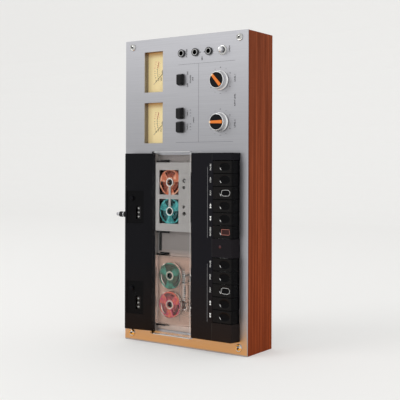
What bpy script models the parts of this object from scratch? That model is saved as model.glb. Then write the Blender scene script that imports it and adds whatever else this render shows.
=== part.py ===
"""Double cassette deck with two top-loading wells, standing on its end.

Metres, +Z up. The origin is the middle of the wooden case's lower end, which the deck stands on.
The faceplate looks along -Y. +X is the side with the piano keys, which faces the user when the
deck lies flat. A level given as "proud" is a distance in front of the faceplate's front surface.
"""

import math

import bmesh
import bpy
from mathutils import Matrix, Vector

for old in list(bpy.data.objects):
    bpy.data.objects.remove(old, do_unlink=True)

# Clearances shared by every piece
SEAT = 0.0003
OVERRUN = 0.001
RUNNING = 0.0003

# Wooden case and faceplate
CASE_WIDTH = 0.219
CASE_HEIGHT = 0.454
CASE_DEPTH = 0.066
BOARD = 0.012
CASE_EDGE = 0.0008
PLATE = 0.002
PLATE_EDGE = 0.0004

# Sheet-metal cover on the underside, with its feet and vents
COVER = 0.0015
FOOT_RADIUS = 0.011
FOOT_HEIGHT = 0.008
FOOT_INSET_X = 0.035
FOOT_INSET_Z = 0.045
VENT_LENGTH = 0.070
VENT_WIDTH = 0.003
VENT_PITCH = 0.009
VENT_COUNT = 8
VENT_MIDDLE = 0.150

# Transport opening in the faceplate, and the deck plate seen through the lid
OPENING_LEFT = 0.095
OPENING_RIGHT = 0.0965
OPENING_LOW = 0.0222
OPENING_HIGH = 0.2808
DECK = 0.0015
DECK_RIGHT = 0.046
DECK_MARGIN = 0.008

# Level meters
METER_X = -0.05575
METER_Z = (0.40475, 0.32855)
METER_WIDE = 0.0345
METER_TALL = 0.0605
METER_WALL = 0.003
METER_DIAL_DEPTH = 0.008
METER_BOX_DEPTH = 0.024
METER_CAN_RADIUS = 0.014
METER_CAN_DEPTH = 0.010
NEEDLE_PIVOT_INSET = 0.0045
NEEDLE_LENGTH = 0.0265
NEEDLE_WIDTH = 0.0007
NEEDLE_THICKNESS = 0.0004
NEEDLE_LIFT = 0.0011
NEEDLE_HUB_RADIUS = 0.0022
NEEDLE_REST_ANGLE = math.radians(42)

# Jack sockets, and the chrome push button beside them
JACK_X = (-0.0037, 0.0205, 0.0441)
JACK_Z = 0.4286
JACK_NUT_RADIUS = 0.00575
JACK_NUT_HEIGHT = 0.0022
JACK_BARREL_RADIUS = 0.0046
JACK_BORE_RADIUS = 0.00325
JACK_BODY_RADIUS = 0.0075
JACK_BODY_LENGTH = 0.021
JACK_BORE_DEPTH = 0.017
BUTTON_X = 0.0672
BUTTON_Z = 0.4285
BUTTON_RADIUS = 0.0043
BUTTON_STEM_RADIUS = 0.0036
BUTTON_HEIGHT = 0.0105
BUTTON_CAP = 0.0052
BUTTON_TAIL = 0.010

# Three paddle switches
SWITCH_X = (-0.0046, -0.0054, -0.0054)
SWITCH_Z = (0.3903, 0.3412, 0.3211)
SWITCH_BASE_WIDE = 0.0098
SWITCH_BASE_TALL = 0.0174
SWITCH_TIP_WIDE = 0.0080
SWITCH_TIP_TALL = 0.0138
SWITCH_HEIGHT = 0.0074
SWITCH_TAIL = 0.0080
SWITCH_TAIL_WIDE = 0.0040
SWITCH_SLOT_MARGIN = 0.0009
SWITCH_BLEND = 0.0007

# Rotary knobs
KNOB_X = 0.0640
KNOB_Z = (0.3855, 0.3264)
KNOB_TURN = (math.radians(48.5), 0.0)
KNOB_LIFT = 0.0006
KNOB_SKIRT_RADIUS = 0.0139
KNOB_SKIRT = 0.0026
KNOB_BODY_RADIUS = 0.0130
KNOB_FACE_RADIUS = 0.0112
KNOB_HEIGHT = 0.0110
KNOB_EDGE = 0.0007
KNOB_POINTER_WIDE = 0.0056
KNOB_POINTER_LONG = 0.0208
KNOB_POINTER_HIGH = 0.0013
KNOB_SHAFT_RADIUS = 0.0030
KNOB_SHAFT_LENGTH = 0.0140

# Front housing, with its key bays
HOUSING_WALL = 0.002
HOUSING_LOW = 0.0194
HOUSING_HIGH = 0.2830
HOUSING_PROUD = 0.0150
HOUSING_LEFT = 0.0240
HOUSING_TOP_RIGHT = 0.0930
HOUSING_FOOT_RIGHT = 0.0980
HOUSING_BLEND = 0.0010
BAY_LEFT = 0.0613
BULKHEAD = 0.002

# Piano keys
KEY_PITCH = 0.0181
KEY_GAP = 0.0006
KEY_NAMES_UPPER = ("pause", "stop", "play", "forward", "rewind", "record")
KEY_NAMES_LOWER = ("pause", "stop", "play", "forward", "rewind")
KEY_BANK_LOW = (0.16350, 0.04560)
KEY_LEFT = 0.0618
KEY_RIGHT = 0.0953
KEY_NOSE = 0.0949
KEY_NOSE_RADIUS = 0.0015
KEY_TOP = 0.0018
KEY_SKIRT = 0.0018
KEY_SKIRT_LOW = -0.0008
KEY_WEB = 0.0040
KEY_PIVOT_X = 0.0500
KEY_PIVOT_PROUD = 0.0064
KEY_EYE_RADIUS = 0.0029
KEY_SHAFT_RADIUS = 0.0015
KEY_DISH_X = 0.0812
KEY_DISH_HALF_X = 0.0098
KEY_DISH_HALF_Z = 0.0068
KEY_DISH_DEPTH = 0.0010

# Pilot lamp on the block between the key banks
LAMP_X = 0.0738
LAMP_Z = 0.1518
LAMP_RADIUS = 0.0020
LAMP_FLANGE_RADIUS = 0.0032
LAMP_FLANGE = 0.0015
LAMP_DOME = 0.0009

# Rear housing, whose top falls towards the lid
REAR_LEFT = -0.0990
REAR_TOP_LEFT = -0.0980
REAR_RIGHT = -0.0470
REAR_PROUD_LEFT = 0.0155
REAR_PROUD_RIGHT = 0.0063
REAR_BLEND = 0.0012

# Tape counters in the rear housing: recessed plate, window, digit wheels, reset button
COUNTER_X = -0.0756
COUNTER_Z = (0.1946, 0.0596)
COUNTER_PLATE_X = (-0.0948, -0.0662)
COUNTER_PLATE_Z = ((0.1780, 0.2270), (0.0430, 0.0920))
COUNTER_RECESS = 0.0009
COUNTER_WINDOW_WIDE = 0.0080
COUNTER_WHEEL_RADIUS = 0.0055
COUNTER_WHEEL_PROUD = 0.0042
COUNTER_WHEEL_LONG = 0.0186
COUNTER_GROOVE = 0.0004
COUNTER_AXLE_RADIUS = 0.0014
COUNTER_AXLE_LONG = 0.0270
COUNTER_RIB = 0.0015
COUNTER_RIB_HALF = 0.0065
COUNTER_RIB_PROUD = 0.0089
RESET_X = -0.0858
RESET_ABOVE = 0.0215
RESET_RADIUS = 0.0032
RESET_LIFT = 0.0024
RESET_STEM = 0.0075
RESET_EDGE = 0.0005

# Cassettes, in the wells under the lid
CASSETTE_Z = (0.2192, 0.0826)
CASSETTE_LEFT = -0.0445
CASSETTE_RIGHT = 0.0193
CASSETTE_LONG = 0.1004
CASSETTE_THIN = 0.0087
CASSETTE_THICK = 0.0120
CASSETTE_THICK_DEEP = 0.0160
CASSETTE_THICK_HALF_IN = 0.0325
CASSETTE_THICK_HALF_OUT = 0.0355
CASSETTE_CORNER = 0.0015
CASSETTE_WALL = 0.0011
REEL_X = -0.0190
REEL_HALF_SPACING = 0.02115
REEL_RADIUS = 0.0190
REEL_ROOM = 0.0008
HUB_HOLE_RADIUS = 0.0048
WINDOW_X = (-0.0380, -0.0027)
WINDOW_Z = (0.0032, 0.0392)
WINDOW_RING_RADIUS = 0.0063
WINDOW_BAR = 0.0036
TAPE_MOUTH_DEEP = 0.0120
TAPE_MOUTH_HIGH = 0.0076
TAPE_MOUTH_MIDDLE_HALF = 0.0095
TAPE_MOUTH_SIDE = (0.0150, 0.0275)
CAPSTAN_X = 0.0085
CAPSTAN_SIDE = 0.0237
CAPSTAN_HOLE_RADIUS = 0.0030
LOCATING_X = 0.0078
LOCATING_SIDE = 0.0140
LOCATING_RADIUS = 0.0024

# Reels and the spindles that turn them
REEL_BORE_RADIUS = 0.0045
REEL_PACK_RADIUS = 0.0135
REEL_FLANGE = 0.0008
REEL_TEETH = 6
REEL_TOOTH_WIDE = 0.0012
REEL_TOOTH_TIP = 0.0036
REEL_WINDOWS = 3
REEL_WINDOW_IN = 0.0082
REEL_WINDOW_OUT = 0.0172
REEL_WINDOW_ANGLE = math.radians(70)
SPINDLE_CORE_RADIUS = 0.0028
SPINDLE_FIN_RADIUS = 0.0040
SPINDLE_FIN_WIDE = 0.0009
SPINDLE_FINS = 3
SPINDLE_TIP = 0.0012
SPINDLE_DISC_RADIUS = 0.0090
SPINDLE_DISC = 0.0028

# Capstans with their flywheels, and the motor and belt that drive them
CAPSTAN_RADIUS = 0.00125
FLYWHEEL_RADIUS = 0.0220
FLYWHEEL_TOP = -0.0110
FLYWHEEL = 0.0085
FLYWHEEL_WEB_RADIUS = 0.0150
FLYWHEEL_WEB_DEPTH = 0.0025
FLYWHEEL_BOSS_RADIUS = 0.0045
MOTOR_X = -0.0600
MOTOR_Z = 0.1746
MOTOR_RADIUS = 0.0170
MOTOR_TOP = -0.0235
MOTOR_LONG = 0.0300
MOTOR_EDGE = 0.0015
MOTOR_POST_RADIUS = 0.0025
MOTOR_POST_REACH = 0.0135
MOTOR_POST_ANGLES = (math.radians(100), math.radians(180), math.radians(260))
PULLEY_RADIUS = 0.0045
BELT = 0.0010
BELT_WIDE = 0.0030

# Head carriage, one for each well, held back under the front housing at rest
HEAD_REST_X = 0.0247
HEAD_SLIDE_X = (0.0284, 0.0434)
HEAD_SLIDE_HALF = 0.0092
HEAD_SLIDE_HIGH = 0.0016
HEAD_HALF = 0.0064
HEAD_LONG = 0.0100
HEAD_LOW = 0.0010
HEAD_HIGH = 0.0074
HEAD_NOSE = 0.0022
HEAD_PORT_HALF = 0.0105
HEAD_PORT_HIGH = 0.0092

# Spring clips at the ends of each cassette
CLIP_X = (-0.0430, -0.0265)
CLIP = 0.0008
CLIP_HIGH = 0.0088
CLIP_FOOT = 0.0034
CLIP_LIP = 0.0016

# Clear lid over both wells, hinged on pins in the rear housing's ends
LID_WALL = 0.0018
LID_PROUD = 0.0150
LID_LEFT = -0.0460
LID_RIGHT = 0.0232
LID_CHEEK_GAP = 0.0006
LID_CHEEK_LOW = 0.0012
LID_SIDE_LOW = 0.0092
LID_FRONT_LOW = 0.0106
LID_PIVOT_X = -0.0495
LID_PIVOT_PROUD = 0.0074
LID_EYE_RADIUS = 0.0044
LID_PIN_RADIUS = 0.0016
LID_PIN_SPARE = 0.0006
LID_EDGE = 0.0007

# Rear connector panel, let into the left board of the case
PANEL_Y = (-0.0285, 0.0190)
PANEL_Z = (0.0900, 0.2700)
PANEL_RECESS = 0.0030
PANEL_CORNER = 0.0030
POST_Y = -0.0230
POST_Z = 0.1895
POST_TIP_X = -0.1370
POST_RADIUS = 0.0036
POST_TIP_SHARE = 1 / 3
POST_SHARES = (3 / 4, 1 / 2, 1 / 3)
SOCKET_Y = (-0.0060, 0.0080)
SOCKET_Z = (0.2450, 0.2250)
SOCKET_RADIUS = 0.0042
SOCKET_LONG = 0.0080
SOCKET_BORE_RADIUS = 0.0016
GLAND_Z = 0.1080
GLAND_RADIUS = 0.0055
GLAND_BORE_RADIUS = 0.0017

# Mains transformer and circuit board, carried by the underside cover
CORE_X = (0.0400, 0.0850)
CORE_Z = (0.0560, 0.1060)
CORE_DEEP = 0.0300
CORE_EDGE = 0.0006
COIL_OVERHANG = 0.0080
COIL_INSET = 0.0090
COIL_INSET_DEEP = 0.0050
BOARD_X = (-0.0750, 0.0780)
BOARD_Z = (0.2980, 0.4180)
BOARD_THICK = 0.0016
BOARD_LIFT = 0.0080
BOARD_POST_RADIUS = 0.0030
BOARD_POST_INSET = 0.0060
CAPACITOR_RADIUS = 0.0060
CAPACITOR_HIGH = 0.0150
CAPACITOR_X = 0.0050
CAPACITOR_PITCH = 0.0170
CAPACITOR_COUNT = 4

# Sides of the round pieces, and steps in the arcs of drawn outlines
ROUND = 24
FINE = 32
SMALL = 16
CORNER_STEPS = 4
NOSE_STEPS = 3
DOME_STEPS = 6
EYE_STEPS = 8
SECTOR_STEPS = 5
EDGE_STEPS = 2

# Corners sharper than these angles are rounded off, or shaded as an edge
BEVEL_ANGLE = math.radians(40)
LID_BEVEL_ANGLE = math.radians(50)
SHARP_ANGLE = math.radians(35)

# Places worked out from the sizes above
FACE_Y = -CASE_DEPTH / 2 - PLATE
UNDER_Y = CASE_DEPTH / 2
DECK_TOP = -PLATE - SEAT
HALF_WIDTH = CASE_WIDTH / 2
CASSETTE_FLOOR = DECK_TOP + SEAT
CASSETTE_MIDDLE = CASSETTE_FLOOR + CASSETTE_THICK / 2
CASSETTE_TOP = CASSETTE_MIDDLE + CASSETTE_THIN / 2
CASSETTE_BOTTOM = CASSETTE_MIDDLE - CASSETTE_THIN / 2
BAY_SIDE = KEY_GAP / 2 + RUNNING

# Finishes: colour, roughness, metallic
FINISHES = {
    "wood": ((0.30, 0.085, 0.035), 0.45, 0.0),
    "brushed_aluminium": ((0.48, 0.48, 0.51), 0.35, 1.0),
    "deck_silver": ((0.32, 0.30, 0.29), 0.45, 0.8),
    "black_plastic": ((0.012, 0.012, 0.014), 0.40, 0.0),
    "clear_acrylic": ((0.92, 0.93, 0.94), 0.08, 0.0),
    "cassette_silver": ((0.55, 0.54, 0.53), 0.40, 0.2),
    "cassette_clear": ((0.85, 0.82, 0.80), 0.12, 0.0),
    "reel_orange": ((0.75, 0.22, 0.07), 0.35, 0.3),
    "reel_teal": ((0.04, 0.40, 0.38), 0.35, 0.3),
    "reel_green": ((0.03, 0.38, 0.22), 0.35, 0.3),
    "reel_pink": ((0.80, 0.12, 0.18), 0.35, 0.3),
    "cream": ((0.74, 0.62, 0.36), 0.60, 0.0),
    "needle_black": ((0.02, 0.02, 0.02), 0.50, 0.0),
    "chrome": ((0.80, 0.80, 0.82), 0.12, 1.0),
    "steel": ((0.50, 0.50, 0.50), 0.35, 1.0),
    "satin_silver": ((0.68, 0.68, 0.68), 0.25, 1.0),
    "lamp_red": ((0.45, 0.02, 0.02), 0.20, 0.0),
    "board_brown": ((0.22, 0.12, 0.05), 0.60, 0.0),
    "rubber": ((0.015, 0.015, 0.015), 0.80, 0.0),
}

deck_parts = bpy.data.collections.new("cassette_deck")
cutters = bpy.data.collections.new("cutters")
for collection in (deck_parts, cutters):
    bpy.context.scene.collection.children.link(collection)

# Local x, y, z of a drawn outline or a turned profile, as world directions. A turned piece with
# its axis along "y" has its local top towards the viewer, at -Y.
TURN = {
    "x": Matrix(((0, 0, 1, 0), (1, 0, 0, 0), (0, 1, 0, 0), (0, 0, 0, 1))),
    "y": Matrix(((1, 0, 0, 0), (0, 0, -1, 0), (0, 1, 0, 0), (0, 0, 0, 1))),
    "z": Matrix.Identity(4),
}


def y_at(proud):
    """World y of a level in front of the faceplate's front surface."""
    return FACE_Y - proud


def material(finish):
    found = bpy.data.materials.get(finish)
    if found:
        return found
    colour, roughness, metallic = FINISHES[finish]
    made = bpy.data.materials.new(finish)
    made.use_nodes = True
    shader = made.node_tree.nodes["Principled BSDF"]
    shader.inputs["Base Color"].default_value = (*colour, 1.0)
    shader.inputs["Roughness"].default_value = roughness
    shader.inputs["Metallic"].default_value = metallic
    return made


def box(low, high):
    """A box between two corners."""
    mesh = bpy.data.meshes.new("box")
    cube = bmesh.new()
    bmesh.ops.create_cube(cube, size=1.0)
    low, high = Vector(low), Vector(high)
    stretch = Matrix.Diagonal((*(high - low), 1))
    cube.transform(Matrix.Translation((low + high) / 2) @ stretch)
    cube.to_mesh(mesh)
    cube.free()
    return mesh


def slab(x, proud, z):
    """A box given by its spans along x, in front of the faceplate, and along z."""
    return box((x[0], y_at(proud[1]), z[0]), (x[1], y_at(proud[0]), z[1]))


def evaluated_mesh(thing):
    """The mesh of a scratch object with its modifiers applied and its loose points welded."""
    graph = bpy.context.evaluated_depsgraph_get()
    mesh = bpy.data.meshes.new_from_object(thing.evaluated_get(graph))
    bpy.data.objects.remove(thing)
    work = bmesh.new()
    work.from_mesh(mesh)
    bmesh.ops.remove_doubles(work, verts=work.verts, dist=SEAT / 100)
    work.to_mesh(mesh)
    work.free()
    return mesh


def prism(outline, span, axis):
    """A flat outline drawn across an axis and extruded over a span of it."""
    curve = bpy.data.curves.new("outline", "CURVE")
    curve.dimensions = "2D"
    curve.fill_mode = "BOTH"
    curve.extrude = (span[1] - span[0]) / 2
    spline = curve.splines.new("POLY")
    spline.points.add(len(outline) - 1)
    for point, (across, up) in zip(spline.points, outline):
        point.co = (across, up, 0, 1)
    spline.use_cyclic_u = True
    thing = bpy.data.objects.new("outline", curve)
    cutters.objects.link(thing)
    mesh = evaluated_mesh(thing)
    middle = [0, 0, 0]
    middle["xyz".index(axis)] = (span[0] + span[1]) / 2
    mesh.transform(Matrix.Translation(middle) @ TURN[axis])
    return mesh


def section(outline, z):
    """A cross-section of (x, proud) points, extruded along z."""
    return prism([(x, y_at(proud)) for x, proud in outline], z, "z")


def arc(centre, radius, start, end, steps):
    """Points on an arc, from one angle to another."""
    turns = [start + (end - start) * step / steps for step in range(steps + 1)]
    return [(centre[0] + radius * math.cos(t), centre[1] + radius * math.sin(t)) for t in turns]


def rounded(x, z, radius, steps=CORNER_STEPS):
    """The outline of a rectangle with round corners."""
    points = []
    corners = ((x[1], z[1], 1, 1), (x[0], z[1], -1, 1), (x[0], z[0], -1, -1), (x[1], z[0], 1, -1))
    for quarter, (at_x, at_z, side_x, side_z) in enumerate(corners):
        start = quarter * math.pi / 2
        middle = (at_x - side_x * radius, at_z - side_z * radius)
        points += arc(middle, radius, start, start + math.pi / 2, steps)
    return points


def turned(profile, centre, axis, steps=ROUND, closed=False):
    """A profile of (radius, level) points turned about an axis. An open profile starts and ends
    on the axis and runs from top to bottom; a closed one goes round a bored piece."""
    mesh = bpy.data.meshes.new("profile")
    points = [(radius, 0, level) for radius, level in profile]
    edges = [(i, i + 1) for i in range(len(points) - 1)]
    if closed:
        edges.append((len(points) - 1, 0))
    mesh.from_pydata(points, edges, [])
    thing = bpy.data.objects.new("profile", mesh)
    cutters.objects.link(thing)
    screw = thing.modifiers.new("turn", "SCREW")
    screw.axis = "Z"
    screw.steps = steps
    screw.render_steps = steps
    screw.use_merge_vertices = True
    screw.merge_threshold = SEAT / 10
    made = evaluated_mesh(thing)
    made.transform(Matrix.Translation(centre) @ TURN[axis])
    return made


def upright(profile, x, z, steps=ROUND, closed=False):
    """A turned piece whose axis points out of the faceplate: (radius, proud) points."""
    return turned(profile, (x, FACE_Y, z), "y", steps, closed)


def rod(radius, x, proud, z, steps=ROUND):
    """A cylinder along z."""
    profile = [(0, z[1]), (radius, z[1]), (radius, z[0]), (0, z[0])]
    return turned(profile, (x, y_at(proud), 0), "z", steps)


def peg(radius, x, proud, z, steps=ROUND):
    """A cylinder that points out of the faceplate, over a span of levels."""
    profile = [(0, proud[1]), (radius, proud[1]), (radius, proud[0]), (0, proud[0])]
    return upright(profile, x, z, steps)


def joined(meshes):
    """Several shapes in one mesh, still as separate bodies, for use as one cutter."""
    work = bmesh.new()
    for mesh in meshes:
        work.from_mesh(mesh)
    whole = bpy.data.meshes.new("group")
    work.to_mesh(whole)
    work.free()
    return whole


def tool(mesh):
    """A helper object that a Boolean uses."""
    helper = bpy.data.objects.new("cutter", mesh)
    helper.hide_render = True
    helper.display_type = "WIRE"
    cutters.objects.link(helper)
    return helper


def boolean(piece, operation, meshes):
    for mesh in meshes:
        step = piece.modifiers.new(operation.lower(), "BOOLEAN")
        step.operation = operation
        step.solver = "EXACT"
        step.object = tool(mesh)
    return piece


def cut(piece, *meshes):
    return boolean(piece, "DIFFERENCE", meshes)


def fuse(piece, *meshes):
    return boolean(piece, "UNION", meshes)


def bevel(piece, width, segments=1, angle=BEVEL_ANGLE):
    step = piece.modifiers.new("edges", "BEVEL")
    step.width = width
    step.segments = segments
    step.limit_method = "ANGLE"
    step.angle_limit = angle
    return piece


def part(name, mesh, finish, axis_point=(0, 0, 0)):
    """A named piece. A piece that moves has its origin on its joint's axis."""
    mesh.name = name
    mesh.transform(Matrix.Translation(-Vector(axis_point)))
    mesh.materials.clear()
    mesh.materials.append(material(finish))
    mesh.shade_smooth()
    mesh.set_sharp_from_angle(angle=SHARP_ANGLE)
    piece = bpy.data.objects.new(name, mesh)
    piece.location = axis_point
    deck_parts.objects.link(piece)
    return piece


def wooden_case():
    low = (-HALF_WIDTH, -CASE_DEPTH / 2 + SEAT, 0)
    case = part("wooden_case", box(low, (HALF_WIDTH, UNDER_Y, CASE_HEIGHT)), "wood")
    bevel(case, CASE_EDGE, EDGE_STEPS)
    inner = HALF_WIDTH - BOARD
    deep = UNDER_Y + OVERRUN
    inside = box((-inner, -deep, BOARD), (inner, deep, CASE_HEIGHT - BOARD))
    through_board = (-HALF_WIDTH - OVERRUN, -inner + OVERRUN)
    cut(case, inside, prism(rounded(PANEL_Y, PANEL_Z, PANEL_CORNER), through_board, "x"))


def base_cover():
    half = HALF_WIDTH - BOARD - SEAT
    outer_y = UNDER_Y - SEAT
    inner_y = outer_y - COVER
    low = (-half, inner_y, BOARD + SEAT)
    high = (half, outer_y, CASE_HEIGHT - BOARD - SEAT)
    cover = part("base_cover", box(low, high), "steel")
    feet = []
    for x in (-half + FOOT_INSET_X, half - FOOT_INSET_X):
        for z in (FOOT_INSET_Z, CASE_HEIGHT - FOOT_INSET_Z):
            top = FACE_Y - inner_y - COVER / 2
            foot = FACE_Y - UNDER_Y - FOOT_HEIGHT
            profile = [(0, top), (FOOT_RADIUS, top), (FOOT_RADIUS - COVER, foot), (0, foot)]
            feet.append(upright(profile, x, z, SMALL))
    vents = []
    for row in range(VENT_COUNT):
        z = VENT_MIDDLE + (row - (VENT_COUNT - 1) / 2) * VENT_PITCH
        low = (-VENT_LENGTH / 2, inner_y - OVERRUN, z - VENT_WIDTH / 2)
        vents.append(box(low, (VENT_LENGTH / 2, outer_y + OVERRUN, z + VENT_WIDTH / 2)))
    cut(fuse(cover, *feet), joined(vents))


def faceplate():
    plate = part("faceplate", slab((-HALF_WIDTH, HALF_WIDTH), (-PLATE, 0), (0, CASE_HEIGHT)),
                 "brushed_aluminium")
    bevel(plate, PLATE_EDGE)
    through = (-PLATE - OVERRUN, OVERRUN)
    holes = [slab((-OPENING_LEFT, OPENING_RIGHT), through, (OPENING_LOW, OPENING_HIGH))]
    for z in METER_Z:
        across = (METER_X - METER_WIDE / 2, METER_X + METER_WIDE / 2)
        holes.append(slab(across, through, (z - METER_TALL / 2, z + METER_TALL / 2)))
    for x in JACK_X:
        holes.append(peg(JACK_BARREL_RADIUS + SEAT, x, through, JACK_Z, SMALL))
    holes.append(peg(BUTTON_STEM_RADIUS + RUNNING, BUTTON_X, through, BUTTON_Z, SMALL))
    for x, z in zip(SWITCH_X, SWITCH_Z):
        half_x = SWITCH_TAIL_WIDE / 2 + SWITCH_SLOT_MARGIN
        half_z = SWITCH_TIP_TALL / 2 - SWITCH_BLEND + RUNNING
        holes.append(slab((x - half_x, x + half_x), through, (z - half_z, z + half_z)))
    for z in KNOB_Z:
        holes.append(peg(KNOB_SHAFT_RADIUS + RUNNING, KNOB_X, through, z, SMALL))
    cut(plate, joined(holes))


def deck_plate():
    """The transport's chassis plate behind the faceplate, seen as the floor of both wells."""
    left = -(HALF_WIDTH - BOARD - SEAT)
    level = (DECK_TOP - DECK, DECK_TOP)
    height = (OPENING_LOW - DECK_MARGIN, OPENING_HIGH + DECK_MARGIN)
    plate = part("deck_plate", slab((left, DECK_RIGHT), level, height), "deck_silver")
    through = (level[0] - OVERRUN, level[1] + OVERRUN)
    holes = []
    for middle in CASSETTE_Z:
        for side in (-1, 1):
            z = middle + side * REEL_HALF_SPACING
            holes.append(peg(SPINDLE_CORE_RADIUS + RUNNING, REEL_X, through, z, SMALL))
        z = middle + CAPSTAN_SIDE
        holes.append(peg(CAPSTAN_RADIUS + RUNNING, CAPSTAN_X, through, z, SMALL))
    cut(plate, joined(holes))
    pins = []
    for middle in CASSETTE_Z:
        for side in (-1, 1):
            span = (DECK_TOP - DECK / 2, CASSETTE_BOTTOM + CASSETTE_WALL)
            pins.append(peg(LOCATING_RADIUS - 2 * SEAT, LOCATING_X, span,
                            middle + side * LOCATING_SIDE, SMALL))
    fuse(plate, *pins)


def meter(number, z):
    """A moving-coil level meter: a box with a sunk dial and its needle at rest."""
    front = -PLATE - SEAT
    half_x = METER_WIDE / 2 + METER_WALL
    half_z = METER_TALL / 2 + METER_WALL
    back = front - METER_BOX_DEPTH
    case = part(f"meter_{number}_case",
                slab((METER_X - half_x, METER_X + half_x), (back, front), (z - half_z, z + half_z)),
                "cream")
    dial = front - METER_DIAL_DEPTH
    half_x = METER_WIDE / 2 + SEAT
    half_z = METER_TALL / 2 + SEAT
    cut(case, slab((METER_X - half_x, METER_X + half_x), (dial, OVERRUN), (z - half_z, z + half_z)))
    fuse(case, peg(METER_CAN_RADIUS, METER_X, (back - METER_CAN_DEPTH, back + METER_WALL), z))
    pivot_x = METER_X + METER_WIDE / 2 - NEEDLE_PIVOT_INSET
    hub = upright([(0, dial + NEEDLE_LIFT + NEEDLE_THICKNESS + SEAT),
                   (NEEDLE_HUB_RADIUS, dial + NEEDLE_LIFT + NEEDLE_THICKNESS + SEAT),
                   (NEEDLE_HUB_RADIUS, dial + SEAT), (0, dial + SEAT)], pivot_x, z, SMALL)
    needle = part(f"meter_{number}_needle", hub, "needle_black", (pivot_x, y_at(dial), z))
    along = Vector((-math.cos(NEEDLE_REST_ANGLE), -math.sin(NEEDLE_REST_ANGLE)))
    across = Vector((-along.y, along.x)) * NEEDLE_WIDTH / 2
    root = Vector((pivot_x, z))
    tip = root + along * NEEDLE_LENGTH
    blade = [root - across, tip - across, tip + across, root + across]
    level = (y_at(dial + NEEDLE_LIFT + NEEDLE_THICKNESS), y_at(dial + NEEDLE_LIFT))
    fuse(needle, prism(blade, level, "y"))


def jack(number, x):
    """A quarter-inch jack socket: nut, barrel through the faceplate, body behind it."""
    back = -PLATE - SEAT
    profile = [(0, -JACK_BORE_DEPTH), (JACK_BORE_RADIUS, -JACK_BORE_DEPTH),
               (JACK_BORE_RADIUS, JACK_NUT_HEIGHT), (JACK_NUT_RADIUS, JACK_NUT_HEIGHT),
               (JACK_NUT_RADIUS, SEAT), (JACK_BARREL_RADIUS, SEAT), (JACK_BARREL_RADIUS, back),
               (JACK_BODY_RADIUS, back), (JACK_BODY_RADIUS, -JACK_BODY_LENGTH),
               (0, -JACK_BODY_LENGTH)]
    part(f"jack_{number}", upright(profile, x, JACK_Z, ROUND), "steel")


def push_button():
    """The chrome push button: a domed cap on a stem that slides through the faceplate."""
    shoulder = BUTTON_HEIGHT - BUTTON_CAP
    dome = arc((0, BUTTON_HEIGHT - BUTTON_RADIUS), BUTTON_RADIUS, math.pi / 2, 0, DOME_STEPS)
    collar = -PLATE - SEAT
    profile = [*dome, (BUTTON_RADIUS, shoulder), (BUTTON_STEM_RADIUS, shoulder),
               (BUTTON_STEM_RADIUS, collar), (BUTTON_RADIUS, collar),
               (BUTTON_RADIUS, -BUTTON_TAIL), (0, -BUTTON_TAIL)]
    profile[0] = (0, BUTTON_HEIGHT)
    place = (BUTTON_X, FACE_Y, BUTTON_Z)
    part("push_button", upright(profile, BUTTON_X, BUTTON_Z), "chrome", place)


def switch(number, x, z):
    """A paddle switch: a tapered cap on a stem that tilts in a slot of the faceplate."""
    cap = slab((x - SWITCH_BASE_WIDE / 2, x + SWITCH_BASE_WIDE / 2),
               (PLATE / 2, SWITCH_HEIGHT),
               (z - SWITCH_BASE_TALL / 2, z + SWITCH_BASE_TALL / 2))
    front = [v for v in cap.vertices if v.co.y < y_at(SWITCH_HEIGHT / 2)]
    for vertex in front:
        vertex.co.x = x + (vertex.co.x - x) * SWITCH_TIP_WIDE / SWITCH_BASE_WIDE
        vertex.co.z = z + (vertex.co.z - z) * SWITCH_TIP_TALL / SWITCH_BASE_TALL
    piece = part(f"switch_{number}", cap, "black_plastic", (x, y_at(-PLATE / 2), z))
    bevel(piece, SWITCH_BLEND, EDGE_STEPS)
    half_z = SWITCH_TIP_TALL / 2 - SWITCH_BLEND
    stem = slab((x - SWITCH_TAIL_WIDE / 2, x + SWITCH_TAIL_WIDE / 2),
                (-SWITCH_TAIL, SWITCH_HEIGHT / 2), (z - half_z, z + half_z))
    fuse(piece, stem)


def knob(number, z, turn):
    """A rotary knob: skirt, body and face with a raised pointer bar, on its shaft."""
    face = KNOB_LIFT + KNOB_HEIGHT
    profile = [(0, face), (KNOB_FACE_RADIUS, face), (KNOB_FACE_RADIUS + KNOB_EDGE, face - KNOB_EDGE),
               (KNOB_BODY_RADIUS, KNOB_LIFT + KNOB_SKIRT + KNOB_EDGE),
               (KNOB_SKIRT_RADIUS - KNOB_EDGE, KNOB_LIFT + KNOB_SKIRT),
               (KNOB_SKIRT_RADIUS, KNOB_LIFT + KNOB_SKIRT - KNOB_EDGE),
               (KNOB_SKIRT_RADIUS, KNOB_LIFT), (KNOB_SHAFT_RADIUS, KNOB_LIFT),
               (KNOB_SHAFT_RADIUS, -KNOB_SHAFT_LENGTH), (0, -KNOB_SHAFT_LENGTH)]
    piece = part(f"knob_{number}", upright(profile, KNOB_X, z, FINE), "satin_silver",
                 (KNOB_X, FACE_Y, z))
    along = Vector((-math.cos(turn), math.sin(turn))) * KNOB_POINTER_LONG / 2
    across = Vector((-along.y, along.x)).normalized() * KNOB_POINTER_WIDE / 2
    middle = Vector((KNOB_X, z))
    bar = [middle + along + across, middle - along + across, middle - along - across,
           middle + along - across]
    fuse(piece, prism(bar, (y_at(face + KNOB_POINTER_HIGH), y_at(face - KNOB_EDGE)), "y"))


def key_bank(bank, names):
    """The lower and upper edge of a bank of keys."""
    return KEY_BANK_LOW[bank], KEY_BANK_LOW[bank] + len(names) * KEY_PITCH


BANKS = (key_bank(0, KEY_NAMES_UPPER), key_bank(1, KEY_NAMES_LOWER))
BAYS = [(low - BAY_SIDE, high + BAY_SIDE) for low, high in BANKS]


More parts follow.
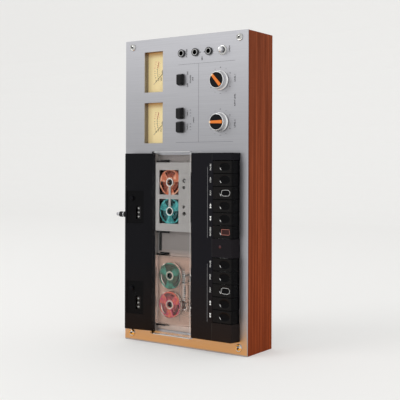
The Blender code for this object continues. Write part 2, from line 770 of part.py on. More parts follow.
def seat_on_faceplate(low, high, left, right):
    """Cutters that lift a housing's foot off the faceplate round the transport opening."""
    level = (DECK_TOP - OVERRUN, SEAT)
    lower = slab((left - OVERRUN, right + OVERRUN), level, (low - OVERRUN, OPENING_LOW + SEAT))
    upper = slab((left - OVERRUN, right + OVERRUN), level, (OPENING_HIGH - SEAT, high + OVERRUN))
    return lower, upper


def front_housing():
    """The moulded housing beside the wells: a hollow cover with a bay for each bank of keys and
    a bulkhead at each end of a bay, which carries the keys' shaft."""
    foot = DECK_TOP + SEAT
    outline = [(HOUSING_LEFT, foot), (HOUSING_LEFT, HOUSING_PROUD),
               (HOUSING_TOP_RIGHT, HOUSING_PROUD), (HOUSING_FOOT_RIGHT, foot)]
    housing = part("front_housing", section(outline, (HOUSING_LOW, HOUSING_HIGH)), "black_plastic")
    bevel(housing, HOUSING_BLEND, EDGE_STEPS)
    wall = HOUSING_WALL
    hollow = [(HOUSING_LEFT + wall, foot - OVERRUN), (HOUSING_LEFT + wall, HOUSING_PROUD - wall),
              (HOUSING_TOP_RIGHT - wall, HOUSING_PROUD - wall),
              (HOUSING_FOOT_RIGHT - wall, foot - OVERRUN)]
    (up_low, up_high), (down_low, down_high) = BAYS
    rooms = [(HOUSING_LOW + wall, down_low - BULKHEAD), (down_low, down_high),
             (down_high + BULKHEAD, up_low - BULKHEAD), (up_low, up_high),
             (up_high + BULKHEAD, HOUSING_HIGH - wall)]
    cut(housing, joined([section(hollow, room) for room in rooms]))
    deep = (foot - OVERRUN, HOUSING_PROUD + OVERRUN)
    across = (BAY_LEFT, HOUSING_FOOT_RIGHT + OVERRUN)
    cut(housing, joined([slab(across, deep, bay) for bay in BAYS]))
    level = (foot - OVERRUN, SEAT)
    beside = slab((OPENING_RIGHT - SEAT, HOUSING_FOOT_RIGHT + OVERRUN), level,
                  (HOUSING_LOW - OVERRUN, HOUSING_HIGH + OVERRUN))
    ends = seat_on_faceplate(HOUSING_LOW, HOUSING_HIGH, HOUSING_LEFT, HOUSING_FOOT_RIGHT)
    cut(housing, beside, *ends)
    across = (HOUSING_LEFT - OVERRUN, HOUSING_LEFT + wall + OVERRUN)
    ports = [slab(across, (foot - OVERRUN, HEAD_PORT_HIGH), (z - HEAD_PORT_HALF, z + HEAD_PORT_HALF))
             for z in CASSETTE_Z]
    cut(housing, joined(ports))
    shaft = rod(KEY_SHAFT_RADIUS + SEAT, KEY_PIVOT_X, KEY_PIVOT_PROUD, key_shaft_span(), SMALL)
    lamp = peg(LAMP_RADIUS + SEAT, LAMP_X, (HOUSING_PROUD - wall - OVERRUN, HOUSING_PROUD + OVERRUN),
               LAMP_Z, SMALL)
    cut(housing, shaft, lamp)


def key_shaft_span():
    over = BULKHEAD + OVERRUN
    return BAYS[1][0] - over, BAYS[0][1] + over


def key_shaft():
    low, high = key_shaft_span()
    span = (low + SEAT, high - SEAT)
    shaft = rod(KEY_SHAFT_RADIUS, KEY_PIVOT_X, KEY_PIVOT_PROUD, span, SMALL)
    part("key_shaft", shaft, "steel")


def key(name, low):
    """A piano key: a cap with a rounded nose and skirt, on an arm that turns on the shaft."""
    inner = HOUSING_PROUD - KEY_TOP
    arm_low = KEY_PIVOT_PROUD - KEY_EYE_RADIUS
    arm_high = KEY_PIVOT_PROUD + KEY_EYE_RADIUS
    nose = arc((KEY_NOSE - KEY_NOSE_RADIUS, HOUSING_PROUD - KEY_NOSE_RADIUS), KEY_NOSE_RADIUS,
               math.pi / 2, 0, NOSE_STEPS)
    eye = arc((KEY_PIVOT_X, KEY_PIVOT_PROUD), KEY_EYE_RADIUS, -math.pi / 2, -3 * math.pi / 2,
              EYE_STEPS)
    web = KEY_LEFT + KEY_WEB
    outline = [(KEY_LEFT, HOUSING_PROUD), *nose, (KEY_RIGHT, KEY_SKIRT_LOW),
               (KEY_RIGHT - KEY_SKIRT, KEY_SKIRT_LOW), (KEY_NOSE - KEY_SKIRT, inner),
               (web, inner), (web, arm_low), *eye, (KEY_LEFT, arm_high)]
    span = (low + KEY_GAP / 2, low + KEY_PITCH - KEY_GAP / 2)
    piece = part(name, section(outline, span), "black_plastic",
                 (KEY_PIVOT_X, y_at(KEY_PIVOT_PROUD), low + KEY_PITCH / 2))
    clear = (span[0] - OVERRUN, span[1] + OVERRUN)
    bore = rod(KEY_SHAFT_RADIUS + RUNNING, KEY_PIVOT_X, KEY_PIVOT_PROUD, clear, SMALL)
    dish = bpy.data.meshes.new("dish")
    ball = bmesh.new()
    bmesh.ops.create_uvsphere(ball, u_segments=SMALL, v_segments=SMALL // 2, radius=1)
    ball.transform(Matrix.Diagonal((KEY_DISH_HALF_X, KEY_DISH_DEPTH, KEY_DISH_HALF_Z, 1)))
    ball.transform(Matrix.Translation((KEY_DISH_X, y_at(HOUSING_PROUD), low + KEY_PITCH / 2)))
    ball.to_mesh(dish)
    ball.free()
    cut(piece, bore, dish)


def keys():
    for label, bank, names in (("upper", 0, KEY_NAMES_UPPER), ("lower", 1, KEY_NAMES_LOWER)):
        high = BANKS[bank][1]
        for place, function in enumerate(names):
            key(f"key_{label}_{function}", high - (place + 1) * KEY_PITCH)


def lamp():
    """The pilot lamp's lens, held behind the housing's wall by its flange."""
    inner = HOUSING_PROUD - HOUSING_WALL - SEAT
    top = HOUSING_PROUD + LAMP_DOME
    profile = [(0, top), (LAMP_RADIUS / 2, top - LAMP_DOME / 4), (LAMP_RADIUS, HOUSING_PROUD),
               (LAMP_RADIUS, inner), (LAMP_FLANGE_RADIUS, inner),
               (LAMP_FLANGE_RADIUS, inner - LAMP_FLANGE), (0, inner - LAMP_FLANGE)]
    part("pilot_lamp", upright(profile, LAMP_X, LAMP_Z, SMALL), "lamp_red")


REAR_FALL = (REAR_PROUD_LEFT - REAR_PROUD_RIGHT) / (REAR_RIGHT - REAR_TOP_LEFT)
REAR_TILT = math.atan(REAR_FALL)


def rear_surface(x):
    """How proud the rear housing's sloping top stands at a place along x."""
    return REAR_PROUD_LEFT - REAR_FALL * (x - REAR_TOP_LEFT)


def on_slope(mesh, x, z):
    """Put a shape that was made round the origin, outward along -Y, on the sloping top."""
    place = Matrix.Translation((x, y_at(rear_surface(x)), z))
    mesh.transform(place @ Matrix.Rotation(REAR_TILT, 4, "Z"))
    return mesh


def round_shape(profile, steps=SMALL):
    """A turned shape round the origin, with its levels measured outward along -Y."""
    return turned(profile, (0, 0, 0), "y", steps)


def rear_housing():
    """The moulded cover with the sloping top, its counter recesses, the ribs that carry the digit
    wheels, and the pins on its ends that the lid turns on."""
    foot = DECK_TOP + SEAT
    wall = HOUSING_WALL
    outline = [(REAR_LEFT, foot), (REAR_TOP_LEFT, REAR_PROUD_LEFT),
               (REAR_RIGHT, REAR_PROUD_RIGHT), (REAR_RIGHT, foot)]
    housing = part("rear_housing", section(outline, (HOUSING_LOW, HOUSING_HIGH)), "black_plastic")
    bevel(housing, REAR_BLEND, EDGE_STEPS)
    left = REAR_LEFT + wall
    hollow = [(left, foot - OVERRUN), (left, rear_surface(left) - wall),
              (REAR_RIGHT - wall, rear_surface(REAR_RIGHT - wall) - wall),
              (REAR_RIGHT - wall, foot - OVERRUN)]
    cut(housing, section(hollow, (HOUSING_LOW + wall, HOUSING_HIGH - wall)))
    beside = slab((REAR_LEFT - OVERRUN, -OPENING_LEFT + SEAT), (foot - OVERRUN, SEAT),
                  (HOUSING_LOW - OVERRUN, HOUSING_HIGH + OVERRUN))
    cut(housing, beside, *seat_on_faceplate(HOUSING_LOW, HOUSING_HIGH, REAR_LEFT, REAR_RIGHT))
    ribs = []
    for z in COUNTER_Z:
        for side in (-1, 1):
            middle = z + side * (COUNTER_WHEEL_LONG / 2 + SEAT + COUNTER_RIB / 2)
            span = (middle - COUNTER_RIB / 2, middle + COUNTER_RIB / 2)
            across = (COUNTER_X - COUNTER_RIB_HALF, COUNTER_X + COUNTER_RIB_HALF)
            ribs.append(slab(across, (foot, COUNTER_RIB_PROUD), span))
    fuse(housing, *ribs)
    for z, plate in zip(COUNTER_Z, COUNTER_PLATE_Z):
        middle_x = (COUNTER_PLATE_X[0] + COUNTER_PLATE_X[1]) / 2
        middle_z = (plate[0] + plate[1]) / 2
        half_x = (COUNTER_PLATE_X[1] - COUNTER_PLATE_X[0]) / 2
        half_z = (plate[1] - plate[0]) / 2
        recess = box((-half_x, -OVERRUN, -half_z), (half_x, COUNTER_RECESS, half_z))
        half_x = COUNTER_WINDOW_WIDE / 2
        half_z = COUNTER_WHEEL_LONG / 2 + RUNNING
        window = box((-half_x, -OVERRUN, -half_z), (half_x, wall + OVERRUN, half_z))
        hole = round_shape([(0, OVERRUN), (RESET_RADIUS + RUNNING, OVERRUN),
                            (RESET_RADIUS + RUNNING, -wall - OVERRUN), (0, -wall - OVERRUN)])
        axle = rod(COUNTER_AXLE_RADIUS + SEAT, COUNTER_X, COUNTER_WHEEL_PROUD,
                   (z - COUNTER_AXLE_LONG / 2, z + COUNTER_AXLE_LONG / 2), SMALL)
        cut(housing, on_slope(recess, middle_x, middle_z))
        cut(housing, joined([on_slope(window, COUNTER_X, z), on_slope(hole, RESET_X, z + RESET_ABOVE)]),
            axle)
    reach = LID_CHEEK_GAP + LID_WALL + LID_PIN_SPARE
    for edge, side in ((HOUSING_LOW, -1), (HOUSING_HIGH, 1)):
        ear = sorted((edge, edge - side * (wall - SEAT)))
        pin = sorted((edge - side * wall / 2, edge + side * reach))
        fuse(housing, rod(2 * LID_PIN_RADIUS, LID_PIVOT_X, LID_PIVOT_PROUD, ear, SMALL),
             rod(LID_PIN_RADIUS, LID_PIVOT_X, LID_PIVOT_PROUD, pin, SMALL))


def counter(label, z):
    """Three digit wheels on one axle, and the reset button in the sloping top above them."""
    half = COUNTER_WHEEL_LONG / 2
    rim = COUNTER_WHEEL_RADIUS
    valley = rim - COUNTER_GROOVE
    groove = COUNTER_GROOVE / 2
    end = COUNTER_AXLE_LONG / 2 - SEAT
    steps = [half / 3, -half / 3]
    profile = [(0, end), (COUNTER_AXLE_RADIUS, end), (COUNTER_AXLE_RADIUS, half), (rim, half)]
    for level in steps:
        profile += [(rim, level + groove), (valley, level), (rim, level - groove)]
    profile += [(rim, -half), (COUNTER_AXLE_RADIUS, -half), (COUNTER_AXLE_RADIUS, -end), (0, -end)]
    axis = (COUNTER_X, y_at(COUNTER_WHEEL_PROUD), z)
    part(f"counter_{label}_wheels", turned(profile, axis, "z", ROUND), "needle_black", axis)
    edge = RESET_RADIUS - RESET_EDGE
    collar = RESET_RADIUS + 2 * RESET_EDGE
    behind = -HOUSING_WALL - SEAT
    button = round_shape([(0, RESET_LIFT), (edge, RESET_LIFT), (RESET_RADIUS, RESET_LIFT - RESET_EDGE),
                          (RESET_RADIUS, behind), (collar, behind), (collar, behind - RESET_EDGE),
                          (RESET_RADIUS, behind - RESET_EDGE), (RESET_RADIUS, -RESET_STEM),
                          (0, -RESET_STEM)])
    place = (RESET_X, y_at(rear_surface(RESET_X)), z + RESET_ABOVE)
    part(f"counter_{label}_reset", on_slope(button, RESET_X, z + RESET_ABOVE), "black_plastic", place)


def window_outline(middle, side):
    """One window of the upper cassette, drawn round the hub's ring and the bar that carries it."""
    near = middle + side * WINDOW_Z[0]
    far = middle + side * WINDOW_Z[1]
    hub = middle + side * REEL_HALF_SPACING
    half = WINDOW_BAR / 2
    open_angle = math.asin(half / WINDOW_RING_RADIUS)
    ring = arc((0, 0), WINDOW_RING_RADIUS, -math.pi / 2 - open_angle,
               -5 * math.pi / 2 + open_angle, SMALL)
    points = [(WINDOW_X[0], near), (REEL_X - half, near)]
    points += [(REEL_X + across, hub + side * up) for across, up in ring]
    points += [(REEL_X + half, near), (WINDOW_X[1], near), (WINDOW_X[1], far), (WINDOW_X[0], far)]
    return points


def cassette(label, middle, finish, with_windows):
    """A compact cassette: thin body, thicker edge where the heads reach the tape, a round pocket
    for each reel, hub holes through both faces, and the holes and mouths along the tape edge."""
    low, high = middle - CASSETTE_LONG / 2, middle + CASSETTE_LONG / 2
    outline = rounded((CASSETTE_LEFT, CASSETTE_RIGHT), (low, high), CASSETTE_CORNER)
    thin = (y_at(CASSETTE_TOP), y_at(CASSETTE_BOTTOM))
    shell = part(f"cassette_{label}", prism(outline, thin, "y"), finish)
    inner_x = CASSETTE_RIGHT - CASSETTE_THICK_DEEP
    out_x = CASSETTE_RIGHT
    thick_outline = [(inner_x, middle - CASSETTE_THICK_HALF_IN), (out_x, middle - CASSETTE_THICK_HALF_OUT),
                     (out_x, middle + CASSETTE_THICK_HALF_OUT), (inner_x, middle + CASSETTE_THICK_HALF_IN)]
    half = CASSETTE_THICK / 2
    thick = (y_at(CASSETTE_MIDDLE + half), y_at(CASSETTE_MIDDLE - half))
    fuse(shell, prism(thick_outline, thick, "y"))
    pocket = (CASSETTE_BOTTOM + CASSETTE_WALL, CASSETTE_TOP - CASSETTE_WALL)
    through = (CASSETTE_MIDDLE - CASSETTE_THICK, CASSETTE_MIDDLE + CASSETTE_THICK)
    hubs = [middle - REEL_HALF_SPACING, middle + REEL_HALF_SPACING]
    cut(shell, joined([peg(REEL_RADIUS + REEL_ROOM, REEL_X, pocket, z, FINE) for z in hubs]))
    if with_windows:
        across = (WINDOW_X[0] - SEAT, WINDOW_X[1] + SEAT)
        level = (pocket[0] + SEAT, pocket[1] - SEAT / 2)
        near, far = WINDOW_Z[0] - SEAT, WINDOW_Z[1] + SEAT
        spans = [(middle + near, middle + far), (middle - far, middle - near)]
        cut(shell, joined([slab(across, level, span) for span in spans]))
    holes = [peg(HUB_HOLE_RADIUS, REEL_X, through, z) for z in hubs]
    for side in (-1, 1):
        holes.append(peg(CAPSTAN_HOLE_RADIUS, CAPSTAN_X, through, middle + side * CAPSTAN_SIDE, SMALL))
        holes.append(peg(LOCATING_RADIUS, LOCATING_X, through, middle + side * LOCATING_SIDE, SMALL))
    cut(shell, joined(holes))
    half = TAPE_MOUTH_HIGH / 2
    level = (CASSETTE_MIDDLE - half, CASSETTE_MIDDLE + half)
    across = (CASSETTE_RIGHT - TAPE_MOUTH_DEEP, CASSETTE_RIGHT + OVERRUN)
    near, far = TAPE_MOUTH_SIDE
    spans = [(middle - TAPE_MOUTH_MIDDLE_HALF, middle + TAPE_MOUTH_MIDDLE_HALF),
             (middle + near, middle + far), (middle - far, middle - near)]
    cut(shell, joined([slab(across, level, span) for span in spans]))
    if with_windows:
        face = (y_at(CASSETTE_TOP + OVERRUN), y_at(CASSETTE_TOP - CASSETTE_WALL - SEAT))
        cut(shell, joined([prism(window_outline(middle, side), face, "y") for side in (-1, 1)]))


def sector(middle_x, middle_z, inner, outer, turn, angle):
    """The outline of part of a ring."""
    points = arc((middle_x, middle_z), outer, turn - angle / 2, turn + angle / 2, SECTOR_STEPS)
    return points + arc((middle_x, middle_z), inner, turn + angle / 2, turn - angle / 2, SECTOR_STEPS - 1)


def reel(name, z, finish):
    """A small open-style tape reel with its tape: toothed hub, wound tape, windowed flanges."""
    top = CASSETTE_TOP - CASSETTE_WALL - RUNNING
    bottom = CASSETTE_BOTTOM + CASSETTE_WALL + RUNNING
    profile = [(REEL_BORE_RADIUS, top), (REEL_RADIUS, top), (REEL_RADIUS, top - REEL_FLANGE),
               (REEL_PACK_RADIUS, top - REEL_FLANGE), (REEL_PACK_RADIUS, bottom + REEL_FLANGE),
               (REEL_RADIUS, bottom + REEL_FLANGE), (REEL_RADIUS, bottom), (REEL_BORE_RADIUS, bottom)]
    whole = part(name, upright(profile, REEL_X, z, FINE, closed=True), finish, (REEL_X, FACE_Y, z))
    level = (y_at(top + OVERRUN), y_at(top - REEL_FLANGE - SEAT))
    windows = []
    for number in range(REEL_WINDOWS):
        turn = math.tau * number / REEL_WINDOWS + math.pi / 2
        outline = sector(REEL_X, z, REEL_WINDOW_IN, REEL_WINDOW_OUT, turn, REEL_WINDOW_ANGLE)
        windows.append(prism(outline, level, "y"))
    cut(whole, joined(windows))
    teeth = []
    middle = Matrix.Translation((REEL_X, 0, z))
    for number in range(REEL_TEETH):
        half = REEL_TOOTH_WIDE / 2
        tooth = box((REEL_TOOTH_TIP, y_at(top - SEAT), -half),
                    (REEL_BORE_RADIUS + 2 * SEAT, y_at(bottom + SEAT), half))
        tooth.transform(middle @ Matrix.Rotation(math.tau * number / REEL_TEETH, 4, "Y"))
        teeth.append(tooth)
    fuse(whole, joined(teeth))


def spindle(name, z):
    """A splined spindle, with the disc that drives it behind the deck plate."""
    top = CASSETTE_TOP - SEAT
    shoulder = top - SPINDLE_TIP
    disc_top = DECK_TOP - DECK - SEAT
    disc_low = disc_top - SPINDLE_DISC
    profile = [(0, top), (SPINDLE_CORE_RADIUS / 2, top), (SPINDLE_CORE_RADIUS, shoulder),
               (SPINDLE_CORE_RADIUS, disc_top), (SPINDLE_DISC_RADIUS, disc_top),
               (SPINDLE_DISC_RADIUS, disc_low), (0, disc_low)]
    piece = part(name, upright(profile, REEL_X, z, ROUND), "needle_black", (REEL_X, FACE_Y, z))
    fins = []
    middle = Matrix.Translation((REEL_X, 0, z))
    start = math.tau / REEL_TEETH / 2
    for number in range(SPINDLE_FINS):
        half = SPINDLE_FIN_WIDE / 2
        fin = box((SPINDLE_CORE_RADIUS - SEAT, y_at(shoulder), -half),
                  (SPINDLE_FIN_RADIUS, y_at(CASSETTE_BOTTOM), half))
        fin.transform(middle @ Matrix.Rotation(start + math.tau * number / SPINDLE_FINS, 4, "Y"))
        fins.append(fin)
    fuse(piece, joined(fins))


def capstan(label, z):
    """A capstan shaft on its flywheel, which runs behind the deck plate."""
    deck_back = DECK_TOP - DECK - SEAT
    web = FLYWHEEL_TOP - FLYWHEEL_WEB_DEPTH
    low = FLYWHEEL_TOP - FLYWHEEL
    profile = [(0, CASSETTE_TOP), (CAPSTAN_RADIUS, CASSETTE_TOP), (CAPSTAN_RADIUS, deck_back),
               (FLYWHEEL_BOSS_RADIUS, deck_back), (FLYWHEEL_BOSS_RADIUS, web),
               (FLYWHEEL_WEB_RADIUS, web), (FLYWHEEL_WEB_RADIUS, FLYWHEEL_TOP),
               (FLYWHEEL_RADIUS, FLYWHEEL_TOP), (FLYWHEEL_RADIUS, low), (0, low)]
    part(f"capstan_{label}", upright(profile, CAPSTAN_X, z), "steel", (CAPSTAN_X, FACE_Y, z))


def motor():
    """The drive motor: a can with its pulley, on three posts from the deck plate."""
    pulley_low = FLYWHEEL_TOP - FLYWHEEL
    edge = MOTOR_RADIUS - MOTOR_EDGE
    low = MOTOR_TOP - MOTOR_LONG
    profile = [(0, FLYWHEEL_TOP), (PULLEY_RADIUS, FLYWHEEL_TOP), (PULLEY_RADIUS, pulley_low),
               (CAPSTAN_RADIUS, pulley_low), (CAPSTAN_RADIUS, MOTOR_TOP), (edge, MOTOR_TOP),
               (MOTOR_RADIUS, MOTOR_TOP - MOTOR_EDGE), (MOTOR_RADIUS, low + MOTOR_EDGE),
               (edge, low), (0, low)]
    can = part("motor", upright(profile, MOTOR_X, MOTOR_Z), "steel")
    posts = []
    for turn in MOTOR_POST_ANGLES:
        x = MOTOR_X + MOTOR_POST_REACH * math.cos(turn)
        z = MOTOR_Z + MOTOR_POST_REACH * math.sin(turn)
        posts.append(peg(MOTOR_POST_RADIUS, x, (MOTOR_TOP - MOTOR_EDGE, DECK_TOP - DECK - SEAT), z, SMALL))
    fuse(can, *posts)


def hull(points):
    """The convex outline round a set of points, anticlockwise."""
    points = sorted(set(points))
    halves = []
    for order in (points, points[::-1]):
        chain = []
        for point in order:
            while len(chain) > 1:
                (ax, az), (bx, bz) = chain[-2], chain[-1]
                if (bx - ax) * (point[1] - az) > (bz - az) * (point[0] - ax):
                    break
                chain.pop()
            chain.append(point)
        halves += chain[:-1]
    return halves


def drive_belt():
    """The flat belt from the motor's pulley round both flywheels."""
    wheels = [(CAPSTAN_X, z + CAPSTAN_SIDE, FLYWHEEL_RADIUS) for z in CASSETTE_Z]
    wheels.append((MOTOR_X, MOTOR_Z, PULLEY_RADIUS))
    middle = FLYWHEEL_TOP - FLYWHEEL / 2
    outlines = []
    for offset in (SEAT + BELT, SEAT):
        points = []
        for x, z, radius in wheels:
            points += arc((x, z), radius + offset, 0, math.tau, FINE)[:-1]
        outlines.append(hull(points))
    span = (y_at(middle + BELT_WIDE / 2), y_at(middle - BELT_WIDE / 2))
    belt = part("drive_belt", prism(outlines[0], span, "y"), "rubber")
    cut(belt, prism(outlines[1], (span[0] - OVERRUN, span[1] + OVERRUN), "y"))


def head_carriage(label, z):
    """A tape head on the sliding plate that brings it to the tape."""
    slide = slab(HEAD_SLIDE_X, (DECK_TOP + SEAT, DECK_TOP + SEAT + HEAD_SLIDE_HIGH),
                 (z - HEAD_SLIDE_HALF, z + HEAD_SLIDE_HALF))
    carriage = part(f"head_carriage_{label}", slide, "steel")
    radius = (HEAD_HALF ** 2 + HEAD_NOSE ** 2) / (2 * HEAD_NOSE)
    reach = math.asin(HEAD_HALF / radius)
    nose = arc((HEAD_REST_X + radius, z), radius, math.pi - reach, math.pi + reach, EYE_STEPS)
    back = HEAD_REST_X + HEAD_LONG
    outline = [*nose, (back, z - HEAD_HALF), (back, z + HEAD_HALF)]
    fuse(carriage, prism(outline, (y_at(HEAD_HIGH), y_at(HEAD_LOW)), "y"))
    neck = slab((HEAD_SLIDE_X[0] + SEAT, back - SEAT),
                (DECK_TOP + HEAD_SLIDE_HIGH / 2, HEAD_HIGH / 2),
                (z - HEAD_HALF / 2, z + HEAD_HALF / 2))
    fuse(carriage, neck)


def clip(number, edge, side):
    """A spring clip at one end of a cassette: foot on the deck plate, riser, turned-out lip."""
    floor = DECK_TOP + SEAT
    start = edge + side * 2 * SEAT
    steps = [(0, floor), (0, CLIP_HIGH - CLIP_LIP), (CLIP_LIP, CLIP_HIGH),
             (CLIP_LIP + CLIP, CLIP_HIGH - CLIP), (CLIP, CLIP_HIGH - CLIP_LIP - CLIP / 2),
             (CLIP, floor + CLIP), (CLIP_FOOT, floor + CLIP), (CLIP_FOOT, floor)]
    outline = [(y_at(proud), start + side * out) for out, proud in steps]
    part(f"cassette_clip_{number}", prism(outline, CLIP_X, "x"), "needle_black")


def lid():
    """The clear lid over both wells: a tray whose end cheeks reach back to the hinge pins."""
    low = HOUSING_LOW - LID_CHEEK_GAP - LID_WALL
    high = HOUSING_HIGH + LID_CHEEK_GAP + LID_WALL
    eye = arc((LID_PIVOT_X, LID_PIVOT_PROUD), LID_EYE_RADIUS, math.pi / 2, 3 * math.pi / 2,
              EYE_STEPS)
    bend = LID_LEFT + LID_EYE_RADIUS
    outline = [(LID_LEFT, LID_PROUD), *eye, (bend, LID_CHEEK_LOW), (LID_RIGHT, LID_CHEEK_LOW),
               (LID_RIGHT, LID_PROUD)]
    cover = part("lid", section(outline, (low, high)), "clear_acrylic",
                 (LID_PIVOT_X, y_at(LID_PIVOT_PROUD), 0))
    bevel(cover, LID_EDGE, angle=LID_BEVEL_ANGLE)
    past_left = LID_PIVOT_X - LID_EYE_RADIUS - OVERRUN
    inner_left, inner_right = LID_LEFT + LID_WALL, LID_RIGHT - LID_WALL
    inner_top = LID_PROUD - LID_WALL
    tray = [(past_left, -OVERRUN), (LID_RIGHT + OVERRUN, -OVERRUN),
            (LID_RIGHT + OVERRUN, LID_FRONT_LOW), (inner_right, LID_FRONT_LOW),
            (inner_right, inner_top), (inner_left, inner_top), (inner_left, LID_SIDE_LOW),
            (LID_LEFT, LID_SIDE_LOW), (LID_LEFT, LID_PROUD + OVERRUN),
            (past_left, LID_PROUD + OVERRUN)]
    cut(cover, section(tray, (low + LID_WALL, high - LID_WALL)),
        rod(LID_PIN_RADIUS + RUNNING, LID_PIVOT_X, LID_PIVOT_PROUD,
            (low - OVERRUN, high + OVERRUN), SMALL))


def rear_panel():
    """The connector panel on the deck's rear: phono sockets, a cord gland and a terminal post."""
    x = (-HALF_WIDTH + PANEL_RECESS, -HALF_WIDTH + PANEL_RECESS + PLATE)
    y = (PANEL_Y[0] + SEAT, PANEL_Y[1] - SEAT)
    z = (PANEL_Z[0] + SEAT, PANEL_Z[1] - SEAT)
    panel = part("rear_panel", prism(rounded(y, z, PANEL_CORNER), x, "x"), "steel")
    inside = x[0] + PLATE / 2
    post = inside - POST_TIP_X
    tip = POST_RADIUS * POST_TIP_SHARE
    nut_top, nut_low, collar = (post * share for share in POST_SHARES)
    profile = [(0, -inside + post), (tip, -inside + post), (2 * tip, -inside + post - tip),
               (POST_RADIUS, -inside + nut_top), (POST_RADIUS, -inside + nut_low),
               (2 * tip, -inside + nut_low), (2 * tip, -inside + collar),
               (POST_RADIUS, -inside + collar), (POST_RADIUS, -inside), (0, -inside)]
    outward = Matrix.Rotation(math.pi, 4, "Z") @ TURN["x"]
    terminal = turned(profile, (0, 0, 0), "z", SMALL)
    terminal.transform(Matrix.Translation((0, POST_Y, POST_Z)) @ outward)
    fuse(panel, terminal)
    sockets = []
    bores = []
    for sy in SOCKET_Y:
        for sz in SOCKET_Z:
            ring = [(0, SOCKET_LONG), (SOCKET_RADIUS, SOCKET_LONG), (SOCKET_RADIUS, 0), (0, 0)]
            bore = [(0, SOCKET_LONG + OVERRUN), (SOCKET_BORE_RADIUS, SOCKET_LONG + OVERRUN),
                    (SOCKET_BORE_RADIUS, SOCKET_LONG / 3), (0, SOCKET_LONG / 3)]
            for profile, kept in ((ring, sockets), (bore, bores)):
                shape = turned(profile, (0, 0, 0), "z", SMALL)
                shape.transform(Matrix.Translation((inside, sy, sz)) @ outward)
                kept.append(shape)
    middle = (PANEL_Y[0] + PANEL_Y[1]) / 2
    for radius, start, end, kept in ((GLAND_RADIUS, 0, SOCKET_LONG / 2, sockets),
                                     (GLAND_BORE_RADIUS, -SOCKET_LONG, SOCKET_LONG, bores)):
        shape = turned([(0, end), (radius, end), (radius, start), (0, start)], (0, 0, 0), "z", SMALL)
        shape.transform(Matrix.Translation((inside, middle, GLAND_Z)) @ outward)
        kept.append(shape)
    cut(fuse(panel, *sockets), joined(bores))


def transformer():
    """The mains transformer: laminated core and coil, seated on the underside cover."""
    back = UNDER_Y - SEAT - COVER - SEAT
    front = back - CORE_DEEP
    core = box((CORE_X[0], front, CORE_Z[0]), (CORE_X[1], back, CORE_Z[1]))
    piece = part("transformer", core, "steel")
    bevel(piece, CORE_EDGE)
    fuse(piece, box((CORE_X[0] + COIL_INSET, front + COIL_INSET_DEEP, CORE_Z[0] - COIL_OVERHANG),
                    (CORE_X[1] - COIL_INSET, back - COIL_INSET_DEEP, CORE_Z[1] + COIL_OVERHANG)))


def circuit_board():
    """The main board, on posts from the underside cover, with its row of capacitors."""
    cover = UNDER_Y - SEAT - COVER - SEAT
    back = cover - BOARD_LIFT
    front = back - BOARD_THICK
    board = part("circuit_board", box((BOARD_X[0], front, BOARD_Z[0]), (BOARD_X[1], back, BOARD_Z[1])),
                 "board_brown")
    shapes = []
    for x in (BOARD_X[0] + BOARD_POST_INSET, BOARD_X[1] - BOARD_POST_INSET):
        for z in (BOARD_Z[0] + BOARD_POST_INSET, BOARD_Z[1] - BOARD_POST_INSET):
            span = (FACE_Y - cover, FACE_Y - back + BOARD_THICK / 2)
            shapes.append(peg(BOARD_POST_RADIUS, x, span, z, SMALL))
    for number in range(CAPACITOR_COUNT):
        x = CAPACITOR_X + number * CAPACITOR_PITCH
        span = (FACE_Y - back + BOARD_THICK / 2, FACE_Y - front + CAPACITOR_HIGH)
        shapes.append(peg(CAPACITOR_RADIUS, x, span, (BOARD_Z[0] + BOARD_Z[1]) / 2, SMALL))
    fuse(board, *shapes)


def cassette_well(label, middle, finish, with_windows, reel_finishes):
    """Everything in one well: cassette, reels, spindles, capstan, head and clips."""
    cassette(label, middle, finish, with_windows)
    for side, place, colour in ((1, "takeup", reel_finishes[0]), (-1, "supply", reel_finishes[1])):
        z = middle + side * REEL_HALF_SPACING
        reel(f"reel_{label}_{place}", z, colour)
        spindle(f"spindle_{label}_{place}", z)
    capstan(label, middle + CAPSTAN_SIDE)
    head_carriage(label, middle)
    for side, end in ((1, "high"), (-1, "low")):
        clip(f"{label}_{end}", middle + side * CASSETTE_LONG / 2, side)


wooden_case()
base_cover()
faceplate()
deck_plate()
for index, meter_z in enumerate(METER_Z):
    meter(index + 1, meter_z)
for index, jack_x in enumerate(JACK_X):
    jack(index + 1, jack_x)
push_button()
for index, (switch_x, switch_z) in enumerate(zip(SWITCH_X, SWITCH_Z)):
    switch(index + 1, switch_x, switch_z)
for index, (knob_z, knob_turn) in enumerate(zip(KNOB_Z, KNOB_TURN)):
    knob(index + 1, knob_z, knob_turn)
front_housing()
key_shaft()
keys()
lamp()
rear_housing()
counter("upper", COUNTER_Z[0])
counter("lower", COUNTER_Z[1])
cassette_well("upper", CASSETTE_Z[0], "cassette_silver", True, ("reel_orange", "reel_teal"))
cassette_well("lower", CASSETTE_Z[1], "cassette_clear", False, ("reel_green", "reel_pink"))
lid()
motor()
drive_belt()
rear_panel()
transformer()
circuit_board()
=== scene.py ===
# %% [markdown]
# # Dressing a double cassette deck
# The deck's solids come in as a fixed frame: a wooden case, a metal faceplate, a row of piano keys,
# two cassette wells under a clear lid, two level meters, knobs, switches and sockets.
# This lesson gives each of them a finish and adds the small pieces that are too thin for the
# solids, such as printed lines, dial scales, screws and window glass.

# %% Loading the frame
import math

import bmesh
import bpy
import numpy as np
from mathutils import Matrix, Vector


